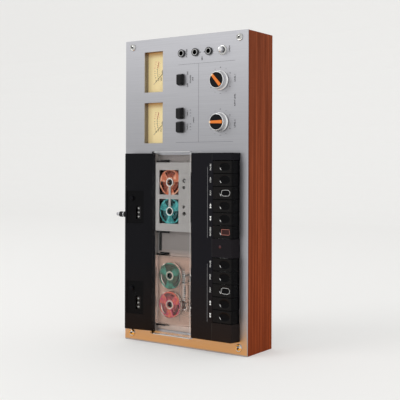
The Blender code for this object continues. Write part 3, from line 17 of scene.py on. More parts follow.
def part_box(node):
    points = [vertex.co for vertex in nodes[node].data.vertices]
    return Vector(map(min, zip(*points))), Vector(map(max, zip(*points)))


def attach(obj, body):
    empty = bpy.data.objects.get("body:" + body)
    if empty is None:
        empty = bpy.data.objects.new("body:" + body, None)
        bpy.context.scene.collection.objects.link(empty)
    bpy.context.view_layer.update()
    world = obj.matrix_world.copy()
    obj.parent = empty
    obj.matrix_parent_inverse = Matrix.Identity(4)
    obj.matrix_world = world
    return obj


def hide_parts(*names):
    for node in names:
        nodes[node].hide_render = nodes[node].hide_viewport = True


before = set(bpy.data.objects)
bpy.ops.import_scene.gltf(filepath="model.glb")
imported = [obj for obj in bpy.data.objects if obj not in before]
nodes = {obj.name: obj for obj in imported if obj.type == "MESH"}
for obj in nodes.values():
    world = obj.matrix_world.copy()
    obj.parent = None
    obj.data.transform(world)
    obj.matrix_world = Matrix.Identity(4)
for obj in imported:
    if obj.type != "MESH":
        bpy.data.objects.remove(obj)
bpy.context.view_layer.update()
print("solids in the frame:", len(nodes))

# %% [markdown]
# ## A short way to write shaders
# A finish is a small graph of nodes. Written one node at a time it is long to read, so two small
# classes carry the work. A Value is the output of some node: arithmetic on values, or comparing
# them, adds the Math nodes for it. A Finish is one material. Its node method adds any node from its
# type, its settings and what its sockets receive. The methods after that are those that recur: a
# point's place, a noise, a blend of two colours, a tint and a bump.


# %% Values that turn arithmetic into nodes
class Value:
    """The output of a node. Arithmetic on it adds a Math node and gives its output."""

    def __init__(self, finish, socket):
        self.finish = finish
        self.socket = socket

    def math(self, operation, first, second):
        return self.finish.node("Math", {"operation": operation}, {0: first, 1: second})

    def __add__(self, other):
        return self.math("ADD", self, other)

    def __sub__(self, other):
        return self.math("SUBTRACT", self, other)

    def __rsub__(self, other):
        return self.math("SUBTRACT", other, self)

    def __mul__(self, other):
        return self.math("MULTIPLY", self, other)

    def __truediv__(self, other):
        return self.math("DIVIDE", self, other)

    def __gt__(self, other):
        return self.math("GREATER_THAN", self, other)

    def __lt__(self, other):
        return self.math("LESS_THAN", self, other)

    def __abs__(self):
        return self.math("ABSOLUTE", self, 0.0)

    __radd__ = __add__
    __rmul__ = __mul__


print("a value can be added, subtracted, multiplied, divided and compared")


# %% A finish and its nodes
class Finish:
    """One material: a Principled shader with fixed numbers, and nodes for what varies."""

    def __init__(self, name, colour, roughness, metallic=0.0, **fixed):
        self.material = bpy.data.materials.new(name)
        self.material.use_nodes = True
        self.tree = self.material.node_tree
        self.shader = self.tree.nodes["Principled BSDF"]
        self.feed("Base Color", opaque(colour))
        self.feed("Roughness", roughness)
        self.feed("Metallic", metallic)
        for socket, number in fixed.items():
            self.feed(socket.replace("_", " "), number)

    def connect(self, socket, given):
        if isinstance(given, Value):
            self.tree.links.new(given.socket, socket)
        else:
            socket.default_value = given

    def feed(self, name, given):
        self.connect(self.shader.inputs[name], given)

    def node(self, kind, settings, inputs, out=0):
        made = self.tree.nodes.new("ShaderNode" + kind)
        for key, given in settings.items():
            if key == "stops":
                for index, (place, colour) in enumerate(given):
                    ramp = made.color_ramp.elements
                    stop = ramp[index] if index < 2 else ramp.new(place)
                    stop.position = place
                    stop.color = opaque(colour)
            else:
                setattr(made, key, given)
        for key, given in inputs.items():
            self.connect(made.inputs[key], given)
        return Value(self, made.outputs[out])

    def place(self, axis=None):
        """Object coordinates, or one of them by its letter."""
        whole = self.node("TexCoord", {}, {}, out=3)
        if axis is None:
            return whole
        return self.node("SeparateXYZ", {}, {0: whole}, out="XYZ".index(axis))

    def noise(self, stretch, detail=3.0, rough=0.5, seed=0.0):
        """Noise of about one cell a unit after the object's metres are stretched."""
        spot = self.node("Mapping", {}, {0: self.place(), 1: (seed, seed / 2, 0), 3: stretch})
        values = {"Vector": spot, "Scale": 1.0, "Detail": detail, "Roughness": rough}
        return self.node("TexNoise", {}, values)

    def blend(self, mask, first, second):
        """The first colour where the mask is nought, the second where it is one."""
        return self.node("Mix", {"data_type": "RGBA"}, {0: mask, 6: first, 7: second}, out=2)

    def tinted(self, first, second):
        """One colour multiplied by another."""
        values = {0: 1.0, 6: first, 7: second}
        return self.node("Mix", {"data_type": "RGBA", "blend_type": "MULTIPLY"}, values, out=2)

    def bump(self, height, depth, strength=1.0):
        values = {"Height": height, "Distance": depth, "Strength": strength}
        self.feed("Normal", self.node("Bump", {}, values))


def opaque(colour):
    """A colour with the fourth number that sockets and ramps ask for."""
    return (*colour, 1.0)


def even(cells):
    """The same stretch along all three axes, in cells a metre."""
    return (cells, cells, cells)


print("shader classes ready")

# %% [markdown]
# ## Moulded plastic
# The housings, keys and switches are black plastic with a very fine moulded grain. A small bump
# from high-frequency noise breaks the highlight up, and a slow noise in the roughness keeps large
# faces from looking like paint.

# %% Plastics
GRAIN = even(2600)
SLOW = even(60)
BLACK = (0.0050, 0.0050, 0.0066)
MOULDED = {"roughness": 0.40, "Specular_IOR_Level": 0.055}


def plastic(name, colour, roughness, grain=0.00002, **fixed):
    """Plastic whose roughness drifts by a tenth and whose surface has a fine grain."""
    made = Finish(name, colour, roughness, **fixed)
    made.feed("Roughness", roughness + (made.noise(SLOW) - 0.5) * 0.15)
    made.bump(made.noise(GRAIN, 2.0), grain)
    return made.material


black_plastic = plastic("moulded black", BLACK, **MOULDED)
switch_black = plastic("switch black", (0.0060, 0.0060, 0.0070), 0.36, Specular_IOR_Level=0.20)
needle_black = plastic("needle black", (0.010, 0.010, 0.010), 0.45, Specular_IOR_Level=0.25)
rubber = plastic("rubber", (0.010, 0.010, 0.010), 0.80, Specular_IOR_Level=0.2)
print("plastics made")

# %% [markdown]
# ## Wood
# The case is four boards of reddish hardwood. On the long side boards the grain runs up the deck,
# and on the short end boards it runs across, so the pattern is worked out twice with the stretch
# along the board, and a mask of the height picks the end boards. A tint that follows the height
# paints warm light on the wood near its foot and a paler, cooler light near its top.

# %% Wood grain
CASE_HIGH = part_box("wooden_case")[1].z
BOARD_THICK = 0.012
BETWEEN_SIDES = 0.0975


def height_share(made):
    """Nought at the foot of the deck, one at its top."""
    return made.place("Z") / CASE_HIGH


def wood_finish():
    """Stretched noise for the figure, finer noise for pores, and a mask for the end boards."""
    made = Finish("hardwood", (0.19, 0.033, 0.010), 0.50, Specular_IOR_Level=0.02)
    across = abs(made.place("X")) < BETWEEN_SIDES
    low_board = made.place("Z") < BOARD_THICK
    high_board = made.place("Z") > CASE_HIGH - BOARD_THICK
    ends = (low_board + high_board) * across
    figure = []
    pores = []
    for stretch, fine in (((210, 210, 2.6), (1300, 1300, 14)), ((2.6, 210, 210), (14, 1300, 1300))):
        figure.append(made.noise(stretch, 6.0, 0.62))
        pores.append(made.noise(fine, 3.0, 0.6))
    band = figure[0] * (1 - ends) + figure[1] * ends
    pore = pores[0] * (1 - ends) + pores[1] * ends
    stops = [(0.32, (0.108, 0.024, 0.0090)), (0.46, (0.166, 0.037, 0.0140)),
             (0.56, (0.215, 0.050, 0.0190)), (0.70, (0.310, 0.078, 0.0290))]
    figured = made.node("ValToRGB", {"stops": stops}, {0: band})
    grain = made.blend((pore < 0.42) * 0.50, figured, opaque((0.080, 0.014, 0.004)))
    # painted light: warmer near the foot, paler and cooler near the top
    tint = made.blend(height_share(made), opaque((1.04, 0.90, 0.66)), opaque((1.10, 1.16, 1.26)))
    made.feed("Base Color", made.tinted(grain, tint))
    made.feed("Roughness", 0.42 + band * 0.22)
    made.bump(pore, 0.00008, 0.6)
    return made.material


wood = wood_finish()
print("wood made:", wood.name)

# %% [markdown]
# ## Metals
# The faceplate is brushed and anodised aluminium. Brushing is a bundle of long scratches in one
# direction, so its noise is stretched a hundredfold along the brushing. The same recipe with other
# numbers gives turned steel and the satin skirts of the knobs. A ramp over the height paints light
# and shade on the faceplate: paler near its top, with a darker band a little above its middle.

# %% Metals
ALONG_PANEL = (9, 400, 1400)
# Painted light and shade for the faceplate: tones over the height, paler near the top.
PAINTED_LIGHT_UP = [(share, (tone, tone, tone)) for share, tone in
            ((0.58, 0.87), (0.65, 0.78), (0.77, 0.86), (0.92, 0.98), (1.0, 1.0))]


def metal(name, colour, roughness, brush=ALONG_PANEL, depth=0.000006, drift=0.12, painted_light_stops=None):
    """Metal with scratches along the direction in which the noise is stretched, and with painted light
    and shade, a tint for each height, where stops are given from the foot, 0, to the top, 1."""
    made = Finish(name, colour, roughness, 1.0)
    scratch = made.noise(brush, 4.0, 0.65)
    made.feed("Roughness", roughness + (scratch - 0.5) * drift)
    darker = tuple(part * 0.86 for part in colour)
    tone = made.node("ValToRGB", {"stops": [(0.3, darker), (0.7, colour)]}, {0: scratch})
    if painted_light_stops:
        # painted light and shade that follow the height
        tint = made.node("ValToRGB", {"stops": painted_light_stops}, {0: height_share(made)})
        tone = made.tinted(tone, tint)
    made.feed("Base Color", tone)
    made.bump(scratch, depth, 0.5)
    return made.material


aluminium = metal("brushed aluminium", (0.50, 0.50, 0.53), 0.38, painted_light_stops=PAINTED_LIGHT_UP)
steel = metal("turned steel", (0.52, 0.52, 0.52), 0.32, even(900))
satin_silver = metal("satin silver", (0.90, 0.90, 0.90), 0.30, (700, 200, 700))
dark_nickel = metal("dark nickel", (0.055, 0.055, 0.060), 0.30, even(400))
chrome = metal("chrome", (0.82, 0.82, 0.84), 0.08, even(60), 0.0, 0.04)
print("metals made")

# %% [markdown]
# ## Pieces of two tones
# Several solids are one piece but show two tones: a meter's box and its cream card, a cassette's
# shell and the painted shade of its open pocket, a cover and its rubber feet. The place of a point
# tells the tones apart, so a mask is worked out from the object's coordinates: one inside a region,
# nought outside it. It needs no unwrapping and its edge stays sharp at any distance.


# %% Masks from a point's place
def between(value, low, high):
    return (value > low) * (value < high)


def within(made, **spans):
    """One inside a box that is given by its span along each axis."""
    mask = 1.0
    for axis, (low, high) in spans.items():
        mask = between(made.place(axis), low, high) * mask
    return mask


def mottled(name, colour, roughness, **fixed):
    """A finish whose roughness varies a little from place to place."""
    made = Finish(name, colour, roughness, **fixed)
    made.feed("Roughness", roughness + (made.noise(even(500)) - 0.5) * 0.12)
    return made


def two_tone(name, outside, inside, where, roughness, **fixed):
    """A finish with one colour where a mask of the object's place is nought, another where it is one."""
    made = mottled(name, outside, roughness, **fixed)
    made.feed("Base Color", made.blend(where(made), opaque(outside), opaque(inside)))
    return made


print("masks ready")

# %% [markdown]
# ## Meter boxes
# A meter's dial is the floor of an olive box. The card has a little painted glow, as if a lamp stood
# behind it, and painted shade makes it browner along its top edge, where the box shades it. One mask
# finds the card by its depth, and a second rises over the last millimetres under each box's top.

# %% Meter boxes
OLIVE_BOX, CREAM_CARD = (0.27, 0.225, 0.160), (0.86, 0.70, 0.38)
PAINTED_CARD_GLOW, CARD_SHADE = (0.86, 0.69, 0.36), (0.62, 0.36, 0.16)
DIAL_DEPTHS = (-0.0249, -0.0245)
DIAL_TOPS = (0.4345, 0.3583)
SHADE_DEEP, SHADE_STEEP, SHADE_FULL = 0.0075, 125, 0.9


def top_shade(made):
    """Nought on most of each dial, rising to one at its top edge."""
    shade = 0.0
    for top in DIAL_TOPS:
        rise = (made.place("Z") - (top - SHADE_DEEP)) * SHADE_STEEP
        shade = between(rise, 0.0, 1.1) * rise * SHADE_FULL + shade
    return shade


def meter_finish():
    made = mottled("meter box and card", OLIVE_BOX, 0.6, Emission_Strength=0.20)
    dial = within(made, Y=DIAL_DEPTHS)
    card = made.blend(dial, opaque(OLIVE_BOX), opaque(CREAM_CARD))
    # painted glow: the card gives off light though no lamp stands behind it
    painted_glow = made.blend(dial, opaque((0, 0, 0)), opaque(PAINTED_CARD_GLOW))
    shade = made.blend(top_shade(made), opaque((1, 1, 1)), opaque(CARD_SHADE))
    made.feed("Base Color", made.tinted(card, shade))
    made.feed("Emission Color", made.tinted(painted_glow, shade))
    return made.material


meter_box = meter_finish()
print("meter box made:", meter_box.name)

# %% [markdown]
# ## Cassettes, reels and the plate under them
# The upper cassette is silver, and its pocket, seen through the open windows, has painted shade.
# Each reel is tinted metal with cloudy painted reflections, and between its flanges lies the darker
# pack of tape. The plate is dark enamel above, and paler below with painted light where the clear
# cassette lies over it.

# %% Cassettes, reels and plate
# The silver cassette's pocket, dark with painted shade where it is seen through the windows.
POCKET_SHADE = {"X": (-0.0386, -0.0021), "Z": (0.1792, 0.2592), "Y": (-0.0421, -0.0352)}
FLANGE_LEVEL = -0.0413
# Each reel: its tint, the tape's colour, and the colour of its painted reflections.
REELS = {"reel_upper_takeup": ((0.50, 0.130, 0.060), (0.22, 0.045, 0.022), (0.72, 0.36, 0.24)),
         "reel_upper_supply": ((0.02, 0.19, 0.19), (0.015, 0.075, 0.080), (0.08, 0.38, 0.38)),
         "reel_lower_takeup": ((0.008, 0.13, 0.075), (0.016, 0.070, 0.032), (0.02, 0.40, 0.32)),
         "reel_lower_supply": ((0.60, 0.03, 0.15), (0.34, 0.045, 0.065), (0.86, 0.22, 0.12))}
CLOUD_SEED, CLOUD_FROM, CLOUD_STEEP = 17, 0.44, 7
PALE_BELOW, PALE_STEEP = 0.142, 60


def low_place(made):
    """Nought above the lower cassette, one from its top edge down, with a soft change between."""
    fall = (PALE_BELOW - made.place("Z")) * PALE_STEEP
    return between(fall, 0.0, 1.0) * fall + (fall > 1)


def reel_finish(name):
    """A tinted reel with cloudy patches of painted reflection, and darker tape between its flanges."""
    tint, tape, painted_reflection = REELS[name]
    made = mottled(name.replace("_", " "), tint, 0.24, Metallic=0.45)
    cloud = (made.noise(even(170), 2.0, seed=CLOUD_SEED) - CLOUD_FROM) * CLOUD_STEEP
    cloud = cloud * (cloud > 0)
    cloud = cloud * (cloud < 1) + (cloud > 1)
    flange = made.blend(cloud, opaque(tint), opaque(painted_reflection))
    made.feed("Base Color", made.blend(made.place("Y") > FLANGE_LEVEL, flange, opaque(tape)))
    return made.material


reel_finishes = {name: reel_finish(name) for name in REELS}
# painted shade in the silver cassette's pocket
silver_shell = two_tone("silver cassette", (0.37, 0.355, 0.345), (0.060, 0.045, 0.040),
                        lambda made: within(made, **POCKET_SHADE), 0.34, Metallic=0.25).material
# painted light: the plate is paler where the clear cassette lies over it
deck_enamel = two_tone("deck plate enamel", (0.26, 0.235, 0.225), (0.72, 0.57, 0.50), low_place,
                       0.50, Metallic=0.6).material
print("reel tints:", len(reel_finishes))

# %% [markdown]
# ## Housings and cover
# Both housings are black mouldings with a painted warm reflection near the foot. The front one is
# greyer on the fixed blocks between and below the keys. The rear one has sunk, blacker plates round
# its counters, and its wall beside the wells carries a pale painted reflection. The underside cover
# is painted sheet with rubber feet.

# %% Places on the housings and the cover
BLOCKS_FROM_X, MIDDLE_BLOCK, LOW_BLOCK_TOP = 0.0604, (0.1370, 0.1630), 0.0448
PLATE_X, PLATE_HEIGHTS = (-0.0948, -0.0662), ((0.1780, 0.2270), (0.0430, 0.0920))
WALL_FROM_X, WALL_FROM_Y, FEET_FROM_Y = -0.0474, -0.0409, 0.0331
WARM_BELOW = 0.125


def block_place(made):
    """The fixed blocks between and below the two banks of keys."""
    height = made.place("Z")
    return (made.place("X") > BLOCKS_FROM_X) * (between(height, *MIDDLE_BLOCK) + (height < LOW_BLOCK_TOP))


def plate_place(made):
    """The sunk plates round the two tape counters."""
    height = made.place("Z")
    tall = between(height, *PLATE_HEIGHTS[0]) + between(height, *PLATE_HEIGHTS[1])
    return between(made.place("X"), *PLATE_X) * tall


def wall_place(made):
    """The rear housing's wall along the wells, below its top edge, where a pale reflection is painted."""
    return (made.place("X") > WALL_FROM_X) * (made.place("Y") > WALL_FROM_Y)


def foot_place(made):
    return made.place("Y") > FEET_FROM_Y


# Painted warm reflection on the black mouldings near the foot.
def warmth(made):
    """Nought above a quarter of the height, rising evenly to one at the foot."""
    rise = (WARM_BELOW - made.place("Z")) / WARM_BELOW
    return between(rise, 0.0, 2.0) * rise


print("the housings are warmer below", WARM_BELOW, "m")

# %% Housings and cover
# The second tone of each pair is the painted warm reflection near the foot.
FRONT_BLACK, WARM_FRONT = (0.0078, 0.0075, 0.0102), (0.0118, 0.0082, 0.0072)
BLOCK_GREY, WARM_BLOCK = (0.0108, 0.0092, 0.0112), (0.0150, 0.0102, 0.0086)
REAR_BLACK, WARM_REAR = (0.0062, 0.0062, 0.0078), (0.0100, 0.0066, 0.0054)
PLATE_BLACK, PAINTED_WALL_REFLECTION = (0.0034, 0.0034, 0.0040), (0.36, 0.32, 0.30)


def front_finish():
    made = mottled("moulded black, greyer blocks", FRONT_BLACK, **MOULDED)
    plain = made.blend(warmth(made), opaque(FRONT_BLACK), opaque(WARM_FRONT))
    block = made.blend(warmth(made), opaque(BLOCK_GREY), opaque(WARM_BLOCK))
    made.feed("Base Color", made.blend(block_place(made), plain, block))
    made.bump(made.noise(GRAIN, 2.0), 0.00002)
    return made.material


def rear_finish():
    made = mottled("moulded black, painted wall reflection", BLACK, **MOULDED)
    smooth = made.blend(warmth(made), opaque(REAR_BLACK), opaque(WARM_REAR))
    moulding = made.blend(plate_place(made), smooth, opaque(PLATE_BLACK))
    # painted reflection: the wall beside the wells is pale
    made.feed("Base Color", made.blend(wall_place(made), moulding, opaque(PAINTED_WALL_REFLECTION)))
    made.bump(made.noise(GRAIN, 2.0), 0.00002)
    return made.material


front_black = front_finish()
rear_black = rear_finish()
cover = two_tone("painted cover, rubber feet", (0.26, 0.26, 0.27), (0.012, 0.012, 0.012), foot_place, 0.55)
cover.bump(cover.noise(even(1500), 2.0), 0.00003)
print("housing finishes:", front_black.name, "and", rear_black.name)

# %% [markdown]
# ## Keys
# Each piano key has a dish for the finger. The dishes, the noses and the joints between the keys
# carry painted shade, so they are the darkest parts of a bank. All keys of a bank share one finish:
# the height is counted in key pitches, and its fraction says where on its own key a point lies.

# %% Keys with painted shade in dishes, noses and joints
KEY_PITCH = 0.0181
BANKS = {"upper": (0.16350, ("pause", "stop", "play", "forward", "rewind", "record")),
         "lower": (0.04560, ("pause", "stop", "play", "forward", "rewind"))}
DISH_X, NOSE_X = 0.0812, 0.0925
SHADE_HALF_X, SHADE_HALF_Z, EDGE_SHARE = 0.0088, 0.0060, 0.462


def key_finish(bank, low):
    """Key plastic with painted shade inside an ellipse round the middle of each key,
    (x / half length)^2 + (z / half width)^2 < 1, on its nose and along its side edges."""
    made = Finish(f"key black {bank}", (0.0042, 0.0040, 0.0046), 0.30, Specular_IOR_Level=0.05)
    share = made.node("Math", {"operation": "FRACT"}, {0: (made.place("Z") - low) / KEY_PITCH})
    up = (share - 0.5) * (KEY_PITCH / SHADE_HALF_Z)
    along = (made.place("X") - DISH_X) / SHADE_HALF_X
    # painted shade in the dish, on the nose and along the joints
    painted_shade = up * up + along * along < 1.0
    painted_shade = painted_shade + (made.place("X") > NOSE_X) + (abs(share - 0.5) > EDGE_SHARE)
    plain, shade_colour = opaque((0.0088, 0.0080, 0.0080)), opaque((0.0026, 0.0025, 0.0030))
    made.feed("Base Color", made.blend(painted_shade, plain, shade_colour))
    made.feed("Roughness", 0.30 + (made.noise(SLOW) - 0.5) * 0.15)
    made.bump(made.noise(GRAIN, 2.0), 0.00001)
    return made.material


key_finishes = {bank: key_finish(bank, low) for bank, (low, names) in BANKS.items()}
print("key finishes:", len(key_finishes))

# %% [markdown]
# ## Dressing the solids
# Each solid comes as a bare mesh. Its material slots are emptied and it gets one finish, so its
# shape and place stay as they are. The lid and the lower cassette are clear plastic with a lower
# index than the real one's, so that the thin walls bend little of what is seen through them.


# %% Dressing the solids
def dress(finish, *names):
    for name in names:
        mesh = nodes[name].data
        mesh.materials.clear()
        mesh.materials.append(finish)


def clear(name, colour, roughness, index, passed=1.0):
    made = Finish(name, colour, roughness, Transmission_Weight=passed, IOR=index)
    made.feed("Roughness", roughness + made.noise(even(40)) * 0.02)
    return made.material


def named(start):
    """The names of the solids that start with these letters."""
    return [name for name in nodes if name.startswith(start)]


acrylic = clear("clear acrylic", (0.99, 0.992, 0.995), 0.0, 1.09)
cassette_clear = clear("clear cassette", (0.95, 0.86, 0.81), 0.05, 1.30, 0.98)
dress(wood, "wooden_case")
dress(aluminium, "faceplate", "rear_panel")
dress(deck_enamel, "deck_plate")
dress(black_plastic, "counter_upper_reset", "counter_lower_reset")
dress(front_black, "front_housing")
dress(rear_black, "rear_housing")
for bank, finish in key_finishes.items():
    dress(finish, *named(f"key_{bank}"))
dress(switch_black, *named("switch_"))
dress(needle_black, "meter_1_needle", "meter_2_needle", "counter_upper_wheels", "counter_lower_wheels",
      *named("spindle"), *named("cassette_clip"))
dress(rubber, "drive_belt")
dress(cover.material, "base_cover")
dress(steel, "transformer", "key_shaft", "motor", *named("capstan_"), *named("head_carriage_"))
dress(satin_silver, "knob_1", "knob_2")
dress(chrome, "push_button")
dress(acrylic, "lid")
dress(cassette_clear, "cassette_lower")
dress(silver_shell, "cassette_upper")
dress(meter_box, "meter_1_case", "meter_2_case")
for name, finish in reel_finishes.items():
    dress(finish, name)
dress(dark_nickel, *named("jack_"))
dress(plastic("lamp lens", (0.055, 0.008, 0.014), 0.15), "pilot_lamp")
dress(plastic("board brown", (0.22, 0.12, 0.05), 0.60), "circuit_board")
print("solids dressed:", len(nodes))

# %% [markdown]
# ## Shapes from arrays
# Small pieces are worked out as whole arrays. A turned piece is a profile of radii and heights
# carried round an axis: radius times the cosine and the sine of the turn, plus height along the
# axis. A profile that comes back to its start makes a bored ring. A printed mark is a flat outline
# given a hair of thickness, so that it has a real edge and sits just proud of what it is printed on.

# %% Levels, faces and finished pieces
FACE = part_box("faceplate")[0].y
PRINT = 0.00006
TO_REAR = (-1, 0, 0)
TO_UNDERSIDE = (0, 1, 0)


def proud(amount):
    """World y of a level in front of the faceplate's front."""
    return FACE - amount


def shape(name, points, faces, finish, body="deck", smooth=True):
    """A finished piece from points and faces, riding on a body of the deck."""
    mesh = bpy.data.meshes.new(name)
    mesh.from_pydata(np.asarray(points, float).tolist(), [], faces)
    mesh.materials.append(finish)
    if smooth:
        mesh.shade_smooth()
        mesh.set_sharp_from_angle(angle=math.radians(38))
    return placed(name, mesh, body)


def placed(name, mesh, body):
    """A piece that rides on a body. Its points that fall together, as at the ends of a turned
    piece, are merged, and its faces turned outwards."""
    made = bpy.data.objects.new(name, mesh)
    bpy.context.scene.collection.objects.link(made)
    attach(made, body)
    work = bmesh.new()
    work.from_mesh(mesh)
    bmesh.ops.remove_doubles(work, verts=work.verts, dist=1e-7)
    bmesh.ops.recalc_face_normals(work, faces=work.faces)
    work.to_mesh(mesh)
    work.free()
    return made


def ring_faces(count, steps):
    """Quads between each closed ring of points and the next, for rings laid end to end."""
    row, step = np.meshgrid(np.arange(count - 1), np.arange(steps), indexing="ij")
    after = (step + 1) % steps
    quads = [row * steps + step, row * steps + after, (row + 1) * steps + after, (row + 1) * steps + step]
    return np.stack(quads, -1).reshape(-1, 4).tolist()


print("faceplate at y =", round(FACE, 4))


# %% Turned pieces
def turned(name, profile, centre, finish, body="deck", outward=(0, -1, 0), steps=56):
    """A closed profile of (radius, height) turned about an axis: centre + height * axis +
    radius * (cos t * side + sin t * up). Rows whose radius is nought share one point."""
    profile = np.asarray(profile, float)
    axis = np.asarray(outward, float) / np.linalg.norm(outward)
    side = np.cross(axis, (0.0, 0.0, 1.0) if abs(axis[2]) < 0.9 else (1.0, 0.0, 0.0))
    side /= np.linalg.norm(side)
    up = np.cross(axis, side)
    t = np.arange(steps) * math.tau / steps
    ring = np.cos(t)[:, None] * side + np.sin(t)[:, None] * up
    rows = profile[:, 1, None, None] * axis + profile[:, 0, None, None] * ring
    points = (rows + np.asarray(centre, float)).reshape(-1, 3)
    count = len(profile)
    faces = ring_faces(count, steps)
    bored = np.allclose(profile[0], profile[-1])
    for end, turn in ((0, -1), (count - 1, 1)):
        if profile[end, 0] > 0 and not bored:
            faces.append((end * steps + np.arange(steps))[::-turn].tolist())
    return shape(name, points, faces, finish, body)


def collar(inner, outer, low, high):
    """The closed profile of a plain bored ring."""
    return [(inner, low), (outer, low), (outer, high), (inner, high), (inner, low)]


print("a plain bored ring has", len(collar(1, 2, 0, 1)) - 1, "corners")


# %% Printed marks
def printed(name, outline, level, finish, body="deck", thick=PRINT):
    """A flat mark: an outline of (x, z) points, given a thickness along the outward axis."""
    outline = np.asarray(outline, float)
    count = len(outline)
    front = np.stack([outline[:, 0], np.full(count, level - thick), outline[:, 1]], 1)
    back = front + (0, thick, 0)
    ring = np.arange(count)
    faces = [ring[::-1].tolist(), (ring + count).tolist()] + ring_faces(2, count)
    return shape(name, np.concatenate([front, back]), faces, finish, body, smooth=False)


def bar(x0, x1, z0, z1):
    """The outline of an upright rectangle."""
    return [(x0, z0), (x1, z0), (x1, z1), (x0, z1)]


def arc_points(centre, radius, start, end, steps):
    """Points centre + radius * (cos t, sin t) for t in degrees from start to end."""
    t = np.radians(np.linspace(start, end, steps))
    return np.stack([centre[0] + radius * np.cos(t), centre[1] + radius * np.sin(t)], 1)


def arc_point(centre, radius, turn):
    """One point of such an arc."""
    return arc_points(centre, radius, turn, turn, 1)[0]


def dot(centre, radius, level, finish):
    return printed("dot", arc_points(centre, radius, 0, 330, 12), level, finish)


def ring_mark(name, centre, radius, wide, start, end, level, finish, steps=40):
    """A printed arc: the outer edge one way and the inner edge back."""
    outer = arc_points(centre, radius + wide / 2, start, end, steps)
    inner = arc_points(centre, radius - wide / 2, end, start, steps)
    return printed(name, np.concatenate([outer, inner]), level, finish)


def gathered(name, pieces):
    """Several marks made one piece."""
    bpy.ops.object.select_all(action="DESELECT")
    for piece in pieces:
        piece.select_set(True)
    bpy.context.view_layer.objects.active = pieces[0]
    bpy.ops.object.join()
    pieces[0].name = name


print("printed marks are", PRINT, "m thick")

# %% [markdown]
# ## Inks
# Printed marks are black ink on the metal and white ink on the black plastic. Ink is a thin matt
# film, so a rough dielectric with a little mottling does it.


# %% Inks
def ink(name, colour):
    made = Finish(name, colour, 0.6, Specular_IOR_Level=0.25)
    made.feed("Roughness", 0.5 + made.noise(even(900)) * 0.2)
    return made.material


black_ink = ink("black ink", (0.012, 0.012, 0.014))
grey_ink = ink("grey ink", (0.11, 0.11, 0.12))
white_ink = ink("white ink", (0.80, 0.80, 0.78))
# A dim grey for the painted glints on the rims of the key dishes.
painted_glint_ink = ink("painted glint ink", (0.10, 0.10, 0.105))
grey_white = ink("grey white ink", (0.24, 0.24, 0.25))
red_ink = ink("red ink", (0.50, 0.09, 0.04))
pink_ink = ink("pink ink", (0.50, 0.19, 0.15))
dark_red = ink("dark red", (0.026, 0.0035, 0.003))
# A dark ink for painted shade in slots, sockets and gaps.
painted_slot_shadow = ink("slot shadow", (0.02, 0.02, 0.02))
orange_paint = ink("orange paint", (0.74, 0.195, 0.028))
cream_paint = ink("cream paint", (0.82, 0.62, 0.42))
print("inks made")

# %% [markdown]
# ## Lettering
# The user looks at the deck lying flat from the side with the keys. Up the page is then -X and
# along the line is +Z, so each word is made flat, turned a quarter, and stood on the faceplate.
# A text curve is made a mesh first, and only numbers and plain words are used.


# %% Numbers and words
def lettering(name, words, x, z, height, level, finish, body="deck", bold=0.0, stand=None):
    """A short text centred on (x, z), reading upwards, as a mesh with a hair of thickness. A matrix
    given as stand puts it elsewhere."""
    curve = bpy.data.curves.new(name, "FONT")
    curve.body = words
    curve.size = height * 1.38
    curve.align_x = "CENTER"
    curve.align_y = "CENTER"
    curve.extrude = PRINT / 2
    curve.offset = bold
    curve.resolution_u = 3
    scratch = bpy.data.objects.new(name, curve)
    bpy.context.scene.collection.objects.link(scratch)
    graph = bpy.context.evaluated_depsgraph_get()
    mesh = bpy.data.meshes.new_from_object(scratch.evaluated_get(graph))
    bpy.data.objects.remove(scratch)
    if stand is None:
        stand = Matrix(((0, -1, 0, x), (0, 0, -1, level - PRINT / 2), (1, 0, 0, z), (0, 0, 0, 1)))
    mesh.transform(stand)
    mesh.materials.clear()
    mesh.materials.append(finish)
    return placed(name, mesh, body)


print("lettering ready")

# %% [markdown]
# ## Screws
# A raised-head screw sits in a turned cup washer at each corner of the faceplate. Washer and head
# are turned profiles; the slot is a dark bar of painted shade let into the head's crown, and a dark
# disc of painted shade fills its socket.

# %% Corner screws
SCREW_X, SCREW_LOW, SCREW_HIGH = 0.0957, 0.0110, 0.4443
CUP = [(0, 0.0), (0.0054, 0.0), (0.0054, 0.0003), (0.0051, 0.0012), (0.0045, 0.0018),
       (0.0038, 0.0017), (0.0033, 0.0010), (0, 0.0010)]
DOME_RADIUS, DOME_RISE, DOME_FOOT = 0.0034, 0.0011, 0.0012
SLOT_HALF, SLOT_SHARE, SLOT_LEVEL, SLOT_DEEP = 0.0026, 0.14, 0.00195, 0.0006
SOCKET = [(0, 0.0016), (0.0017, 0.0016), (0.0017, 0.0024), (0, 0.0024)]
sweep = np.linspace(0, math.pi / 2, 9)
DOME = np.stack([DOME_RADIUS * np.cos(sweep), DOME_FOOT + DOME_RISE * np.sin(sweep)], 1)
HEAD = np.concatenate([[(0, 0.0009), (DOME_RADIUS, 0.0009)], DOME])
bright = metal("bright screw steel", (0.60, 0.60, 0.59), 0.20, even(500))
for index, (x, z, lean) in enumerate(((-SCREW_X, SCREW_LOW, 20), (SCREW_X, SCREW_LOW, 75),
                                      (-SCREW_X, SCREW_HIGH, 130), (SCREW_X, SCREW_HIGH, 50))):
    turned(f"screw_cup_{index}", CUP, (x, FACE, z), bright)
    turned(f"screw_head_{index}", HEAD, (x, FACE, z), bright, steps=32)
    along = arc_point((0, 0), SLOT_HALF, lean)
    across = np.array([-along[1], along[0]]) * SLOT_SHARE
    corners = [along + across, -along + across, -along - across, along - across]
    # the slot and the socket are dark with painted shade
    printed(f"screw_slot_{index}", np.array((x, z)) + corners, proud(SLOT_LEVEL), painted_slot_shadow,
            thick=SLOT_DEEP)
    turned(f"screw_socket_{index}", SOCKET, (x, FACE, z), painted_slot_shadow, steps=6)
print("screws at", SCREW_X, "m either side")

# %% [markdown]
# ## Engraved lines and panel marks
# Thin engraved lines divide the upper panel into fields. Short words stand beside the sockets and
# switches, and a number ring stands round each knob.

